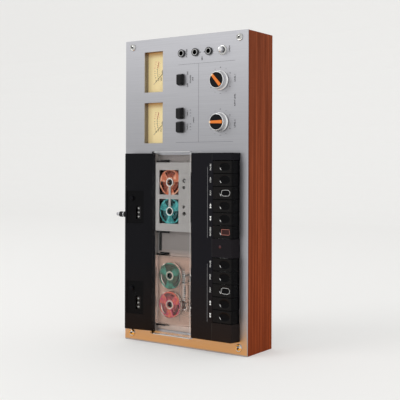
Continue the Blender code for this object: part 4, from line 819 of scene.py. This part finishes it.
# %% Panel printing
LINE = 0.00035
FIELD_LINES = ((-0.0100, 0.0885, 0.4123 - LINE / 2, 0.4123 + LINE / 2),
               (-0.0136, 0.0853, 0.2988 - LINE / 2, 0.2988 + LINE / 2),
               (0.0262 - LINE / 2, 0.0262 + LINE / 2, 0.2990, 0.4120))
PANEL_WORDS = (("PHONES", 0.0050, 0.4283, 0.0023), ("L", 0.0287, 0.4283, 0.0028),
               ("R", 0.0366, 0.4283, 0.0028), ("MIC", 0.0323, 0.4190, 0.0023),
               ("OPEN", 0.0790, 0.4290, 0.0026), ("ON", 0.0068, 0.3990, 0.0024),
               ("OFF", 0.0068, 0.3818, 0.0024), ("POWER", 0.0118, 0.3903, 0.0024),
               ("LINE", 0.0160, 0.3903, 0.0020), ("TAPE 1", 0.0068, 0.3412, 0.0023),
               ("1   2   3", 0.0120, 0.3412, 0.0023), ("TAPE 2", 0.0068, 0.3211, 0.0023),
               ("1   2   3", 0.0120, 0.3211, 0.0023), ("INPUT", 0.0178, 0.3311, 0.0020),
               ("LEVEL 1", 0.0882, 0.3880, 0.0024), ("INPUT LEVEL", 0.0882, 0.3570, 0.0022),
               ("LEVEL 2", 0.0882, 0.3240, 0.0024))
gathered("panel_lines", [printed("engraved line", bar(*span), proud(0), grey_ink) for span in FIELD_LINES])
gathered("panel_words", [lettering("word " + words, words, x, z, tall, proud(0), black_ink, bold=0.00007)
                         for words, x, z, tall in PANEL_WORDS])
KNOB_X, KNOB_Z = 0.0640, (0.3855, 0.3264)
SCALE_RADIUS, SCALE_FROM, SCALE_STEP = 0.0186, -150, 30
NUMBER_TALL, DOT_RADIUS = 0.0022, 0.00045
for knob, z in enumerate(KNOB_Z, 1):
    marks = []
    for number in range(11):
        t = math.radians(SCALE_FROM + SCALE_STEP * number)
        x_at, z_at = KNOB_X - SCALE_RADIUS * math.cos(t), z + SCALE_RADIUS * math.sin(t)
        if number % 2:
            marks.append(dot((x_at, z_at), DOT_RADIUS, proud(0), black_ink))
        else:
            marks.append(lettering("number", str(number), x_at, z_at, NUMBER_TALL, proud(0), black_ink))
    gathered(f"knob_scale_{knob}", marks)
print("panel marks printed")

# %% [markdown]
# ## Knobs
# Each knob is one turned aluminium shell: a low skirt, a fluted body that narrows slightly, and a
# bright rim round a black face. A raised orange bar crosses the face, with a pale end at the
# pointer. The solids stay underneath, hidden, and these finer turnings stand for them. The solids
# stay underneath as the collision shape, and these finer turnings stand for them. Fluting is a
# cosine of the turn taken off the radius.


# %% Fluted shells and bevelled bars
def fluted(name, profile, centre, flutes, depth, finish, body, steps=288):
    """A turned shell whose radius is lessened by depth * (1 - cos(flutes * t)) / 2 where the third
    number of a profile row is 1."""
    profile = np.asarray(profile, float)
    t = np.arange(steps) * math.tau / steps
    groove = profile[:, 2, None] * depth * (1 - np.cos(flutes * t))[None, :] / 2
    radius = np.maximum(profile[:, 0, None] - groove, 0)
    x = centre[0] + radius * np.cos(t)
    z = centre[2] + radius * np.sin(t)
    y = centre[1] - np.repeat(profile[:, 1, None], steps, 1)
    points = np.stack([x, y, z], -1).reshape(-1, 3)
    return shape(name, points, ring_faces(len(profile), steps), finish, body)


def bevelled_box(name, centre, along, size, finish, body, edge, taper=1.0):
    """A box whose length lies along a direction in the faceplate, with its edges rounded. The
    corners are centre plus or minus half of each side, and at the far end the width is lessened
    to the taper's share."""
    along = np.array([along[0], 0.0, along[1]])
    out = np.array([0.0, -1.0, 0.0])
    across = np.cross(out, along)
    signs = np.array([(i, j, k) for i in (-1, 1) for j in (-1, 1) for k in (-1, 1)])
    corners = signs * (np.array(size) / 2)
    corners[signs[:, 0] > 0, 1] *= taper
    points = np.asarray(centre) + corners @ np.stack([along, across, out])
    faces = [(0, 1, 3, 2), (4, 6, 7, 5), (0, 4, 5, 1), (2, 3, 7, 6), (0, 2, 6, 4), (1, 5, 7, 3)]
    made = shape(name, points, faces, finish, body)
    rounding = made.modifiers.new("edges", "BEVEL")
    rounding.width, rounding.segments = edge, 3
    rounding.use_clamp_overlap = True


print("knob helpers ready")

# %% Knobs
KNOB_TURN = (48.5, 0.0)
KNOB_SHELL = [(0, 0.0006, 0), (0.0136, 0.0006, 0), (0.0139, 0.0009, 0), (0.0139, 0.0027, 0),
              (0.0136, 0.0031, 0), (0.0132, 0.0033, 0), (0.0130, 0.0037, 1), (0.0121, 0.0103, 1),
              (0.0119, 0.0110, 0), (0.0115, 0.0115, 0), (0.0112, 0.0116, 0), (0.0109, 0.0114, 0),
              (0.0109, 0.0110, 0), (0, 0.0110, 0)]
FLUTES, FLUTE_DEPTH = 72, 0.00035
KNOB_FACE = 0.0116
KNOB_DISC = [(0, 0.0108), (0.01085, 0.0108), (0.01085, 0.0114), (0.0106, KNOB_FACE), (0, KNOB_FACE)]
BAR_LONG, BAR_WIDE, BAR_HIGH, BAR_SUNK = 0.0204, 0.0048, 0.0017, 0.0005
BAR_EDGE, BAR_TAPER = 0.0006, 0.76
POINTER_SIZE, POINTER_REACH = (0.0022, 0.0030, 0.0005), 0.0098
STEM = [(0, -0.0138), (0.0030, -0.0138), (0.0030, 0.0008), (0, 0.0008)]
face_black = plastic("knob face", (0.005, 0.005, 0.006), 0.26, 0.00001, Specular_IOR_Level=0.1)
for knob, (z, angle) in enumerate(zip(KNOB_Z, KNOB_TURN), 1):
    body = f"knob_{knob}"
    centre = (KNOB_X, FACE, z)
    shell = fluted(f"knob_{knob}_shell", KNOB_SHELL, centre, FLUTES, FLUTE_DEPTH, satin_silver, body)
    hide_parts(f"knob_{knob}")
    turned(f"knob_{knob}_face", KNOB_DISC, centre, face_black, body, steps=96)
    t = math.radians(angle)
    along = np.array([-math.cos(t), math.sin(t)])
    middle = (KNOB_X, proud(KNOB_FACE + BAR_HIGH / 2 - BAR_SUNK), z)
    bevelled_box(f"knob_{knob}_bar", middle, along, (BAR_LONG, BAR_WIDE, BAR_HIGH), orange_paint, body,
                 BAR_EDGE, BAR_TAPER)
    x_at, z_at = np.array([KNOB_X, z]) + along * POINTER_REACH
    bevelled_box(f"knob_{knob}_pointer", (x_at, proud(KNOB_FACE + BAR_HIGH - BAR_SUNK), z_at), along,
                 POINTER_SIZE, cream_paint, body, 0.0002)
    turned(f"knob_{knob}_stem", STEM, centre, steel, body, steps=32)
print("knobs turned")

# %% [markdown]
# ## Level meters
# Behind each window lies a cream card with a printed arc, ticks, numbers and a red zone at the
# loud end. A thin pane closes the window, and a small cover hides the needle's pivot.


# %% What a meter's scale is made of
METER_X, METER_Z = -0.05575, (0.40475, 0.32855)
CARD_LEVEL = proud(-0.0103)
ARC_X, ARC_LIFT, ARC_RADIUS = -0.0211, 0.0022, 0.0350
ARC_WIDE, RED_ARC_WIDE = 0.0004, 0.0011
QUIET_END, RED_FROM, LOUD_END = 202.5, 173, 157.5
DIGIT_RADIUS, DIGIT_TALL, BEAD_RING_RADIUS, BEAD_RADIUS = 0.0402, 0.0024, 0.0322, 0.00035
TICK_LONG, TICK_SHORT, TICK_HALF = 0.0022, 0.0014, 0.00026
VU_X, VU_DROP, VU_TALL = -0.0490, 0.0105, 0.0030
SCALE_DIGITS = (("20", 201), ("10", 195), ("7", 189.5), ("5", 184.5), ("3", 179.5), ("0", 173),
                ("1", 168.5), ("2", 164.5), ("3", 160))


def tick_mark(centre, turn, long, finish):
    """A narrow bar that points away from the centre, from the arc outwards."""
    inner = arc_point(centre, ARC_RADIUS, turn)
    outer = arc_point(centre, ARC_RADIUS + long, turn)
    side = np.array([-(outer - inner)[1], (outer - inner)[0]])
    side *= TICK_HALF / np.linalg.norm(side)
    outline = [inner + side, outer + side, outer - side, inner - side]
    return printed("tick", outline, CARD_LEVEL, finish)


def meter_scale(meter, z):
    """The arc, its ticks, its numbers with a bead under each, and the sign of the unit."""
    centre = (ARC_X, z + ARC_LIFT)
    marks = [ring_mark("arc", centre, ARC_RADIUS, ARC_WIDE, RED_FROM, QUIET_END, CARD_LEVEL, black_ink),
             ring_mark("red arc", centre, ARC_RADIUS, RED_ARC_WIDE, LOUD_END, RED_FROM, CARD_LEVEL, red_ink)]
    for tick, t in enumerate(np.linspace(LOUD_END, QUIET_END, 11)):
        finish = red_ink if t < RED_FROM else black_ink
        marks.append(tick_mark(centre, t, TICK_SHORT if tick % 2 else TICK_LONG, finish))
    for words, t in SCALE_DIGITS:
        finish = red_ink if t < RED_FROM + 1 else black_ink
        x_at, z_at = arc_point(centre, DIGIT_RADIUS, t)
        marks.append(lettering("number", words, x_at, z_at, DIGIT_TALL, CARD_LEVEL, finish))
        marks.append(dot(arc_point(centre, BEAD_RING_RADIUS, t), BEAD_RADIUS, CARD_LEVEL, finish))
    marks.append(lettering("VU", "VU", VU_X, z - VU_DROP, VU_TALL, CARD_LEVEL, black_ink))
    gathered(f"meter_{meter}_scale", marks)


print("meter scales run from", QUIET_END, "to", LOUD_END, "degrees")

# %% Scales, needles and panes
PIVOT_X, NEEDLE_REACH, NEEDLE_LEAN = -0.0430, 0.0265, 42
ROOT_HALF, TIP_HALF, NEEDLE_THICK = 0.0004, 0.00012, 0.0002
PIVOT_LEVEL, NEEDLE_LEVEL, PANE_LEVEL = proud(-0.0083), proud(-0.0092), proud(-0.0012)
PIVOT_COVER = [(0, 0.0), (0.0032, 0.0), (0.0032, 0.0010), (0.0026, 0.0016), (0, 0.0017)]
PANE_HALF_X, PANE_HALF_Z, PANE_THICK = 0.01715, 0.03015, 0.0008
pane_glass = clear("window pane", (0.99, 0.99, 0.985), 0.01, 1.12)
olive = plastic("olive plastic", (0.42, 0.34, 0.18), 0.5)
for meter, z in enumerate(METER_Z, 1):
    meter_scale(meter, z)
    turned(f"meter_{meter}_pivot", PIVOT_COVER, (PIVOT_X, PIVOT_LEVEL, z), olive, steps=32)
    root = np.array([PIVOT_X, z])
    along = -arc_point((0, 0), 1, NEEDLE_LEAN)
    across = np.array([-along[1], along[0]])
    tip = root + along * NEEDLE_REACH
    blade = [root - across * ROOT_HALF, tip - across * TIP_HALF,
             tip + across * TIP_HALF, root + across * ROOT_HALF]
    needle = printed(f"meter_{meter}_needle_blade", blade, NEEDLE_LEVEL, needle_black,
                     f"meter_{meter}_needle", NEEDLE_THICK)
    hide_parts(f"meter_{meter}_needle")
    window = bar(METER_X - PANE_HALF_X, METER_X + PANE_HALF_X, z - PANE_HALF_Z, z + PANE_HALF_Z)
    printed(f"meter_{meter}_pane", window, PANE_LEVEL, pane_glass, thick=PANE_THICK)
print("meters finished")

# %% [markdown]
# ## Push button and its ring
# The chrome button rises from a bright stepped ring, turned like the screws' washers. Each jack
# socket has a small bush inside its nut, turned the same way.

# %% Button ring and socket bushes
BUTTON_AT = (0.0672, FACE, 0.4285)
JACK_X, JACK_Z = (-0.0037, 0.0205, 0.0441), 0.4286
RING = [(0.0046, 0.0), (0.0072, 0.0), (0.0072, 0.0006), (0.0068, 0.0013), (0.0058, 0.0018),
        (0.0050, 0.0018), (0.0046, 0.0014), (0.0046, 0.0)]
BUSH = [(0.00335, 0.0014), (0.0044, 0.0021), (0.0044, 0.00245), (0.0036, 0.00245),
        (0.00335, 0.0021), (0.00335, 0.0014)]
turned("button_ring", RING, BUTTON_AT, bright)
for index, x in enumerate(JACK_X):
    turned(f"jack_bush_{index}", BUSH, (x, FACE, JACK_Z), steel, steps=40)
print("button ring and socket bushes turned")

# %% [markdown]
# ## Signs on the black housing
# A thin grey line runs beside each bank of keys. Between the line and the keys stand the white
# transport signs, one for each key: a word, or a pair of triangles for the two winding keys.

# %% Places of the keys
TOP = 0.0150
SIGN_X, SIGN_TALL, LINE_X = 0.0577, 0.0023, (0.0524, 0.0528)
key_place = {}
for bank, (low, names) in BANKS.items():
    for place, function in enumerate(names):
        key_place[f"key_{bank}_{function}"] = low + (len(names) - place - 0.5) * KEY_PITCH
print("keys from", round(min(key_place.values()), 4), "to", round(max(key_place.values()), 4))


# %% Transport signs
TRIANGLE, APART = 0.0016, 0.0017


def triangle(x, z, size, way):
    """A filled triangle that points up the deck (way 1) or down it (way -1)."""
    return [(x - size, z - way * size), (x + size, z - way * size), (x, z + way * size)]


def sign(function, z):
    """A word for most keys, and a pair of triangles for the two winding keys."""
    level = proud(TOP)
    if function in ("forward", "rewind"):
        way = 1 if function == "forward" else -1
        return [printed("sign", triangle(SIGN_X, z + shift, TRIANGLE, way), level, white_ink)
                for shift in (-APART, APART)]
    return [lettering("sign", function.upper(), SIGN_X, z, SIGN_TALL, level, white_ink)]


for bank, (low, names) in BANKS.items():
    signs = [mark for name in names for mark in sign(name, key_place[f"key_{bank}_{name}"])]
    beside = bar(*LINE_X, low, low + (len(names) - 0.5) * KEY_PITCH)
    signs.append(printed("line", beside, proud(TOP), grey_white))
    gathered(f"transport_signs_{bank}", signs)
print("signs printed")

# %% [markdown]
# ## Marks in the key dishes
# Every key has a short white tick and a faint glint along the rim of its finger dish, both painted
# highlights. The play keys carry a rounded outline in the dish, and the record key a red one with a
# dark red field. The dish is part of an ellipsoid, so a mark on it follows the same formula:
# depth * sqrt(1 - (x / half length)^2 - (z / half width)^2).

# %% Bands that follow a dish
DISH_HALF_X, DISH_HALF_Z, DISH_DEPTH = 0.0098, 0.0068, 0.0010
BAND_TOP, BAND_FOOT = 0.00007, -0.00010
MARK_X = 0.0825


def dish_level(x, z, key_z):
    """Outward level of the key's top at a place: the flat top less the dish's ellipsoid."""
    inside = 1 - ((x - DISH_X) / DISH_HALF_X) ** 2 - ((z - key_z) / DISH_HALF_Z) ** 2
    return TOP - DISH_DEPTH * np.sqrt(np.clip(inside, 0, 1))


def dish_band(name, path, wide, key_z, finish, body, closed=False):
    """A printed band that follows a path of (x, z) points over the key's dish. Its two edges are
    the path moved half the width along the path's own normals."""
    path = np.asarray(path, float)
    ahead = np.roll(path, -1, 0) - np.roll(path, 1, 0) if closed else np.gradient(path, axis=0)
    normal = np.stack([-ahead[:, 1], ahead[:, 0]], 1)
    normal /= np.linalg.norm(normal, axis=1)[:, None]
    edges = [path + normal * wide / 2, path - normal * wide / 2]
    sheets = []
    for lift in (BAND_TOP, BAND_FOOT):
        for edge in edges:
            level = dish_level(edge[:, 0], edge[:, 1], key_z) + lift
            sheets.append(np.stack([edge[:, 0], FACE - level, edge[:, 1]], 1))
    count = len(path)
    first = np.arange(count if closed else count - 1)
    after = (first + 1) % count
    faces = []
    for a, b in ((0, 1), (1, 3), (3, 2), (2, 0)):
        quads = [first + a * count, after + a * count, after + b * count, first + b * count]
        faces += np.stack(quads, 1).tolist()
    if not closed:
        faces += [(0, count, 3 * count, 2 * count),
                  tuple(count - 1 + count * k for k in (0, 2, 3, 1))]
    shape(name, np.concatenate(sheets), faces, finish, body, smooth=False)


def rounded_box_path(half_x, half_z, key_z, radius, steps=7):
    """A rectangle with round corners about the middle of the mark, as a closed path."""
    x0, x1 = MARK_X - half_x + radius, MARK_X + half_x - radius
    z0, z1 = key_z - half_z + radius, key_z + half_z - radius
    corners = ((x1, z1, 0), (x0, z1, 90), (x0, z0, 180), (x1, z0, 270))
    return np.concatenate([arc_points((x, z), radius, t, t + 90, steps) for x, z, t in corners])


print("dish depth", DISH_DEPTH, "m")

# %% Outlines, ticks and glints
GLINT_TICK_PATH = ((0.0734, -0.0012), (0.0740, -0.0025), (0.0750, -0.0038))
FIELD_HALF, FIELD_WIDE = 0.0059, 0.0062
GLINT_WIDE, GLINT_TICK_WIDE, PLAY_WIDE, RECORD_WIDE = 0.00035, 0.00065, 0.00036, 0.00048
GLINT_HALF_X, GLINT_HALF_Z = 0.0088, 0.0059
rim = np.radians(np.linspace(176, 232, 12))
for name, z in key_place.items():
    glint = np.stack([DISH_X + GLINT_HALF_X * np.cos(rim), z + GLINT_HALF_Z * np.sin(rim)], 1)
    # painted highlights: a faint glint along the dish's rim and a short white tick near it
    dish_band(name + "_glint", glint, GLINT_WIDE, z, painted_glint_ink, name)
    dish_band(name + "_tick", [(x, z + up) for x, up in GLINT_TICK_PATH], GLINT_TICK_WIDE, z, white_ink, name)
    if name.endswith("play"):
        outline = rounded_box_path(0.0071, 0.0041, z, 0.0039)
        dish_band(name + "_outline", outline, PLAY_WIDE, z, white_ink, name, True)
    if name.endswith("record"):
        outline = rounded_box_path(0.0067, 0.0038, z, 0.0008, 4)
        dish_band(name + "_outline", outline, RECORD_WIDE, z, pink_ink, name, True)
        field = np.stack([np.linspace(MARK_X - FIELD_HALF, MARK_X + FIELD_HALF, 12), np.full(12, z)], 1)
        dish_band(name + "_fill", field, FIELD_WIDE, z, dark_red, name)
print("key marks printed")

# %% [markdown]
# ## Earth terminal on the rear
# The threaded post on the connector panel carries a ribbed black nut between two bright washers.
# The nut's radius is lessened by a cosine of the turn, as on the knobs, with its axis to the rear.

# %% Terminal nut and washers
POST_AT = (-0.0230, 0.1895)
BORE = 0.0024
WASHERS = ((0.0046, 0.1100, 0.1112), (0.0044, 0.1208, 0.1218), (0.0040, 0.1296, 0.1304))
NUT_ENDS = ((0.1113, 0.1207), (0.1219, 0.1295))
NUT_RADIUS, RIBS, RIB_DEPTH, NUT_STEPS = 0.0042, 18, 0.0003, 90
for index, (radius, start, end) in enumerate(WASHERS):
    turned(f"terminal_washer_{index}", collar(BORE, radius, start, end), (0, *POST_AT), chrome,
           outward=TO_REAR, steps=36)
t = np.arange(NUT_STEPS) * math.tau / NUT_STEPS
radius = NUT_RADIUS - RIB_DEPTH * (1 - np.cos(RIBS * t)) / 2
y, z = POST_AT[0] + radius * np.cos(t), POST_AT[1] + radius * np.sin(t)
around = np.stack([np.zeros(NUT_STEPS), y, z], 1)
ring = np.arange(NUT_STEPS)
for index, (start, end) in enumerate(NUT_ENDS):
    points = np.concatenate([around - (start, 0, 0), around - (end, 0, 0)])
    faces = ring_faces(2, NUT_STEPS) + [ring[::-1].tolist(), (ring + NUT_STEPS).tolist()]
    shape(f"terminal_nut_{index}", points, faces, switch_black)
print("terminal dressed")

# %% [markdown]
# ## Rear panel and underside cover
# Each phono socket has a coloured insulator between its shell and its bore. Small domed screws
# hold the rear panel and the underside cover, and short words name the channels and the rows.

# %% Sockets, screws and letters
PANEL_OUT, COVER_OUT = 0.1065, 0.0328
CHANNELS, ROWS = (("left", -0.0060), ("right", 0.0080)), (("in", 0.2450), ("out", 0.2250))
PANEL_SCREWS = [(y, z) for y in (-0.0245, 0.0150) for z in (0.0950, 0.2650)]
COVER_SCREWS = [(x, z) for x in (-0.0900, 0.0900) for z in (0.0200, 0.2270, 0.4340)]
HEAD_RADIUS, HEAD_FOOT, HEAD_RISE = 0.0026, 0.0001, 0.0011
REAR_WORDS = (("L", -0.0060, 0.2530), ("R", 0.0080, 0.2530), ("IN", -0.0140, 0.2450),
              ("OUT", -0.0140, 0.2250))
REAR_TALL = 0.0030
INSULATOR = collar(0.0017, 0.0032, 0.1133, 0.1138)
tints = {"left": plastic("socket white", (0.75, 0.75, 0.72), 0.35),
         "right": plastic("socket red", (0.45, 0.02, 0.015), 0.35)}
for channel, y in CHANNELS:
    for way, z in ROWS:
        turned(f"insulator_{way}_{channel}", INSULATOR, (0, y, z), tints[channel], outward=TO_REAR,
               steps=32)
crown = np.stack([HEAD_RADIUS * np.cos(sweep), HEAD_FOOT + HEAD_RISE * np.sin(sweep)], 1)
small_screw = np.concatenate([[(0, 0.0), (HEAD_RADIUS, 0.0)], crown])
for index, (y, z) in enumerate(PANEL_SCREWS):
    turned(f"panel_screw_{index}", small_screw, (-PANEL_OUT, y, z), bright, outward=TO_REAR, steps=24)
for index, (x, z) in enumerate(COVER_SCREWS):
    turned(f"cover_screw_{index}", small_screw, (x, COVER_OUT, z), bright, outward=TO_UNDERSIDE, steps=24)
letters = []
for words, y, z in REAR_WORDS:
    stand = Matrix(((0, 0, -1, -PANEL_OUT - PRINT / 2), (0, -1, 0, y), (-1, 0, 0, z), (0, 0, 0, 1)))
    letters.append(lettering("letter " + words, words, 0, z, REAR_TALL, 0, black_ink, stand=stand))
gathered("rear_letters", letters)
print("rear and underside dressed")

# %% [markdown]
# ## Marks in the wells
# A pale ring surrounds each hub hole. On the silver cassette it lies on the shell's face, and in the
# clear one it is the hub of the reel itself. Between the wells a dark slot of painted shadow is let
# into the plate.

# %% Hub rings
WELL_Z = {"upper": 0.2192, "lower": 0.0826}
REEL_X, REEL_HALF = -0.0190, 0.02115
SHELL_RING = [(0.0049, 0.0083), (0.0062, 0.0083), (0.0062, 0.0085), (0.0060, 0.0087), (0.0051, 0.0087),
              (0.0049, 0.0085), (0.0049, 0.0083)]
HUB_RING = collar(0.0046, 0.0066, 0.0068, 0.0071)
hub_white = plastic("hub white", (0.78, 0.78, 0.75), 0.35)
for side, place in ((1, "takeup"), (-1, "supply")):
    for well, ring, body in (("upper", SHELL_RING, "deck"), ("lower", HUB_RING, f"{place}_lower")):
        turned(f"hub_ring_{well}_{place}", ring, (REEL_X, FACE, WELL_Z[well] + side * REEL_HALF), hub_white,
               body)
print("hub rings turned")

# %% Lines on the clear cassette, the blocks and the lid
RIBS_ALONG = ((-0.0408, 0.0460), (-0.0005, 0.0430), (0.0044, 0.0330))
RIB_WIDE, RUNG_WIDE = 0.0005, 0.0007
RIB_LEVEL, RUNG_LEVEL = proud(0.0083), proud(0.0100)
LADDER_X, LADDER_Z = (0.0062, 0.0110), WELL_Z["lower"] + np.linspace(-0.0120, 0.0290, 15)
BLOCK_LINE_X, BLOCK_EDGES = (0.0600, BLOCKS_FROM_X), ((0.0204, 0.0440), (0.1378, 0.1622), (0.2735, 0.2820))
# Thin white lines of painted highlight along the lid's top, bottom and right edges.
LID_LEVEL, LID_HIGHLIGHT_WIDE = proud(0.0150), 0.0005
LID_HIGHLIGHT_SPANS = [(-0.0440, 0.0215, z, z + LID_HIGHLIGHT_WIDE) for z in (0.2846, 0.0174)]
LID_HIGHLIGHT_SPANS.append((0.0225, 0.0229, 0.0180, 0.2840))
WELL_LEVEL = proud(-0.0023)
WELL_WALL_HIGHLIGHT, WELL_SLOT = (-0.0468, -0.0462, 0.0240, 0.2790), (-0.0460, -0.0408, 0.1385, 0.1665)
centre = WELL_Z["lower"]
ribs = [printed("rib", bar(x, x + RIB_WIDE, centre - half, centre + half), RIB_LEVEL, grey_white)
        for x, half in RIBS_ALONG]
ribs += [printed("rib", bar(*LADDER_X, z, z + RUNG_WIDE), RUNG_LEVEL, white_ink) for z in LADDER_Z]
gathered("clear_cassette_marks", ribs)
# dark lines of painted shade along the edges of the fixed blocks
gathered("block_edges", [printed("block edge", bar(*BLOCK_LINE_X, *span), proud(TOP), painted_slot_shadow)
                         for span in BLOCK_EDGES])
gathered("lid_edge_highlights", [printed("edge", bar(*span), LID_LEVEL, white_ink, "lid") for span in LID_HIGHLIGHT_SPANS])
# a thin white line of painted highlight along the foot of the rear housing's wall
printed("well_line", bar(*WELL_WALL_HIGHLIGHT), WELL_LEVEL, white_ink)
# a dark slot of painted shadow between the wells
printed("well_slot", bar(*WELL_SLOT), WELL_LEVEL, painted_slot_shadow)
print("lines drawn on", len(LADDER_Z) + len(RIBS_ALONG), "ribs")

# %% [markdown]
# ## Counter digits
# Each counter shows three white digits on black wheels, one in each band between the grooves.

# %% Digits on the counter wheels
WHEEL_X, WHEEL_Z, WHEEL_LONG = -0.0756, {"upper": 0.1946, "lower": 0.0596}, 0.0186
WHEEL_RADIUS, WHEEL_PROUD, DIGIT_LIFT, COUNTER_TALL = 0.0055, 0.0042, 0.00002, 0.0031
DIGIT_LEVEL = proud(WHEEL_PROUD + WHEEL_RADIUS + DIGIT_LIFT)
for label, z in WHEEL_Z.items():
    digits = [lettering("digit", "0", WHEEL_X, z + step * WHEEL_LONG / 3, COUNTER_TALL, DIGIT_LEVEL,
                        white_ink, f"counter_{label}_wheels") for step in (-1, 0, 1)]
    gathered(f"counter_{label}_digits", digits)
print("digits printed")

# %% [markdown]
# ## Floor, light and camera
# The deck stands on a pale floor that curves up behind it. One large soft light hangs to the upper
# left, a weaker one to the right, and a pale sky fills the rest, as in a catalogue studio. In the
# photo the panel's foot mirrors something warm. So an orange card lies before the deck, seen only
# in reflections, and a small orange light falls on the wooden side alone.


# %% Floor and warm card
def laid(name, points, faces, finish):
    """A sheet that belongs to the studio and not to the deck."""
    mesh = bpy.data.meshes.new(name)
    mesh.from_pydata(points, [], faces)
    mesh.materials.append(finish)
    sheet = bpy.data.objects.new(name, mesh)
    bpy.context.scene.collection.objects.link(sheet)
    return sheet


def studio_floor():
    """A sheet whose profile is flat, then a quarter circle, (back + radius * sin t,
    radius * (1 - cos t)), then upright."""
    turn = np.linspace(0, math.pi / 2, 16)
    radius, back, near, high, half_wide = 1.2, 2.4, -6.0, 7.0, 8.0
    y = np.concatenate([[near], back + radius * np.sin(turn), [back + radius]])
    z = np.concatenate([[0.0], radius * (1 - np.cos(turn)), [high]])
    rows = np.stack([np.stack([np.full_like(y, side), y, z], 1) for side in (-half_wide, half_wide)])
    count = len(y)
    first = np.arange(count - 1)
    faces = np.stack([first, first + count, first + count + 1, first + 1], 1)
    made = Finish("studio paper", (0.60, 0.597, 0.590), 0.9, Emission_Strength=0.27,
                  Specular_IOR_Level=0.0)
    made.feed("Emission Color", opaque((1.0, 0.995, 0.985)))
    laid("studio floor", rows.reshape(-1, 3).tolist(), faces.tolist(), made.material)


def warm_card():
    """A warm orange card that lies before the deck, seen only in its reflections."""
    (x0, x1), (y0, y1), z = (-0.20, 0.14), (-0.150, -0.037), 0.001
    made = Finish("warm card", (0.5, 0.2, 0.05), 0.9, Emission_Strength=1.15)
    made.feed("Emission Color", opaque((1.0, 0.40, 0.0)))
    corners = [(x0, y0, z), (x1, y0, z), (x1, y1, z), (x0, y1, z)]
    card = laid("warm card", corners, [(0, 1, 2, 3)], made.material)
    card.visible_camera = card.visible_diffuse = card.visible_shadow = False
    card.visible_transmission = False


studio_floor()
warm_card()
print("floor and card laid")


# %% Lights
def area_light(name, place, aim, size, power, colour=(1, 1, 1)):
    lamp = bpy.data.lights.new(name, "AREA")
    lamp.shape = "RECTANGLE"
    lamp.size, lamp.size_y = size
    lamp.energy = power
    lamp.color = colour
    holder = bpy.data.objects.new(name, lamp)
    bpy.context.scene.collection.objects.link(holder)
    holder.location = place
    line = Vector(aim) - Vector(place)
    holder.rotation_euler = line.to_track_quat("-Z", "Y").to_euler()
    return holder


side = area_light("warm side light", (0.36, -0.10, 0.03), (0.11, 0.0, 0.05), (0.14, 0.10), 0.12,
                  (1.0, 0.36, 0.10))
wooden = bpy.data.collections.new("lit by the warm side light")
wooden.objects.link(nodes["wooden_case"])
side.light_linking.receiver_collection = wooden
area_light("key light", (-1.6, -2.2, 2.2), (0, 0, 0.2), (1.6, 1.6), 24)
area_light("fill light", (2.4, -1.6, 1.0), (0, 0, 0.2), (1.2, 1.8), 4)
world = bpy.data.worlds.new("studio air")
world.use_nodes = True
air = world.node_tree.nodes["Background"]
air.inputs["Color"].default_value = opaque((0.93, 0.93, 0.92))
air.inputs["Strength"].default_value = 1.0
bpy.context.scene.world = world
bpy.context.scene.view_settings.view_transform = "Standard"
print("lights:", len(bpy.data.lights))

# %% Camera
CAMERA_AT = (0.719, -1.0276, 0.263)
TURN, ROLL = math.radians(34.8), math.radians(0.18)
camera_data = bpy.data.cameras.new("camera")
camera_data.lens = 75.7
camera_data.sensor_width = 36.0
camera_data.shift_y = -0.0825
camera = bpy.data.objects.new("camera", camera_data)
bpy.context.scene.collection.objects.link(camera)
level = Matrix.Rotation(TURN, 4, "Z") @ Matrix.Rotation(math.pi / 2, 4, "X")
camera.matrix_world = Matrix.Translation(CAMERA_AT) @ level @ Matrix.Rotation(ROLL, 4, "Z")
bpy.context.scene.camera = camera
print("camera at", [round(part, 3) for part in camera.location])
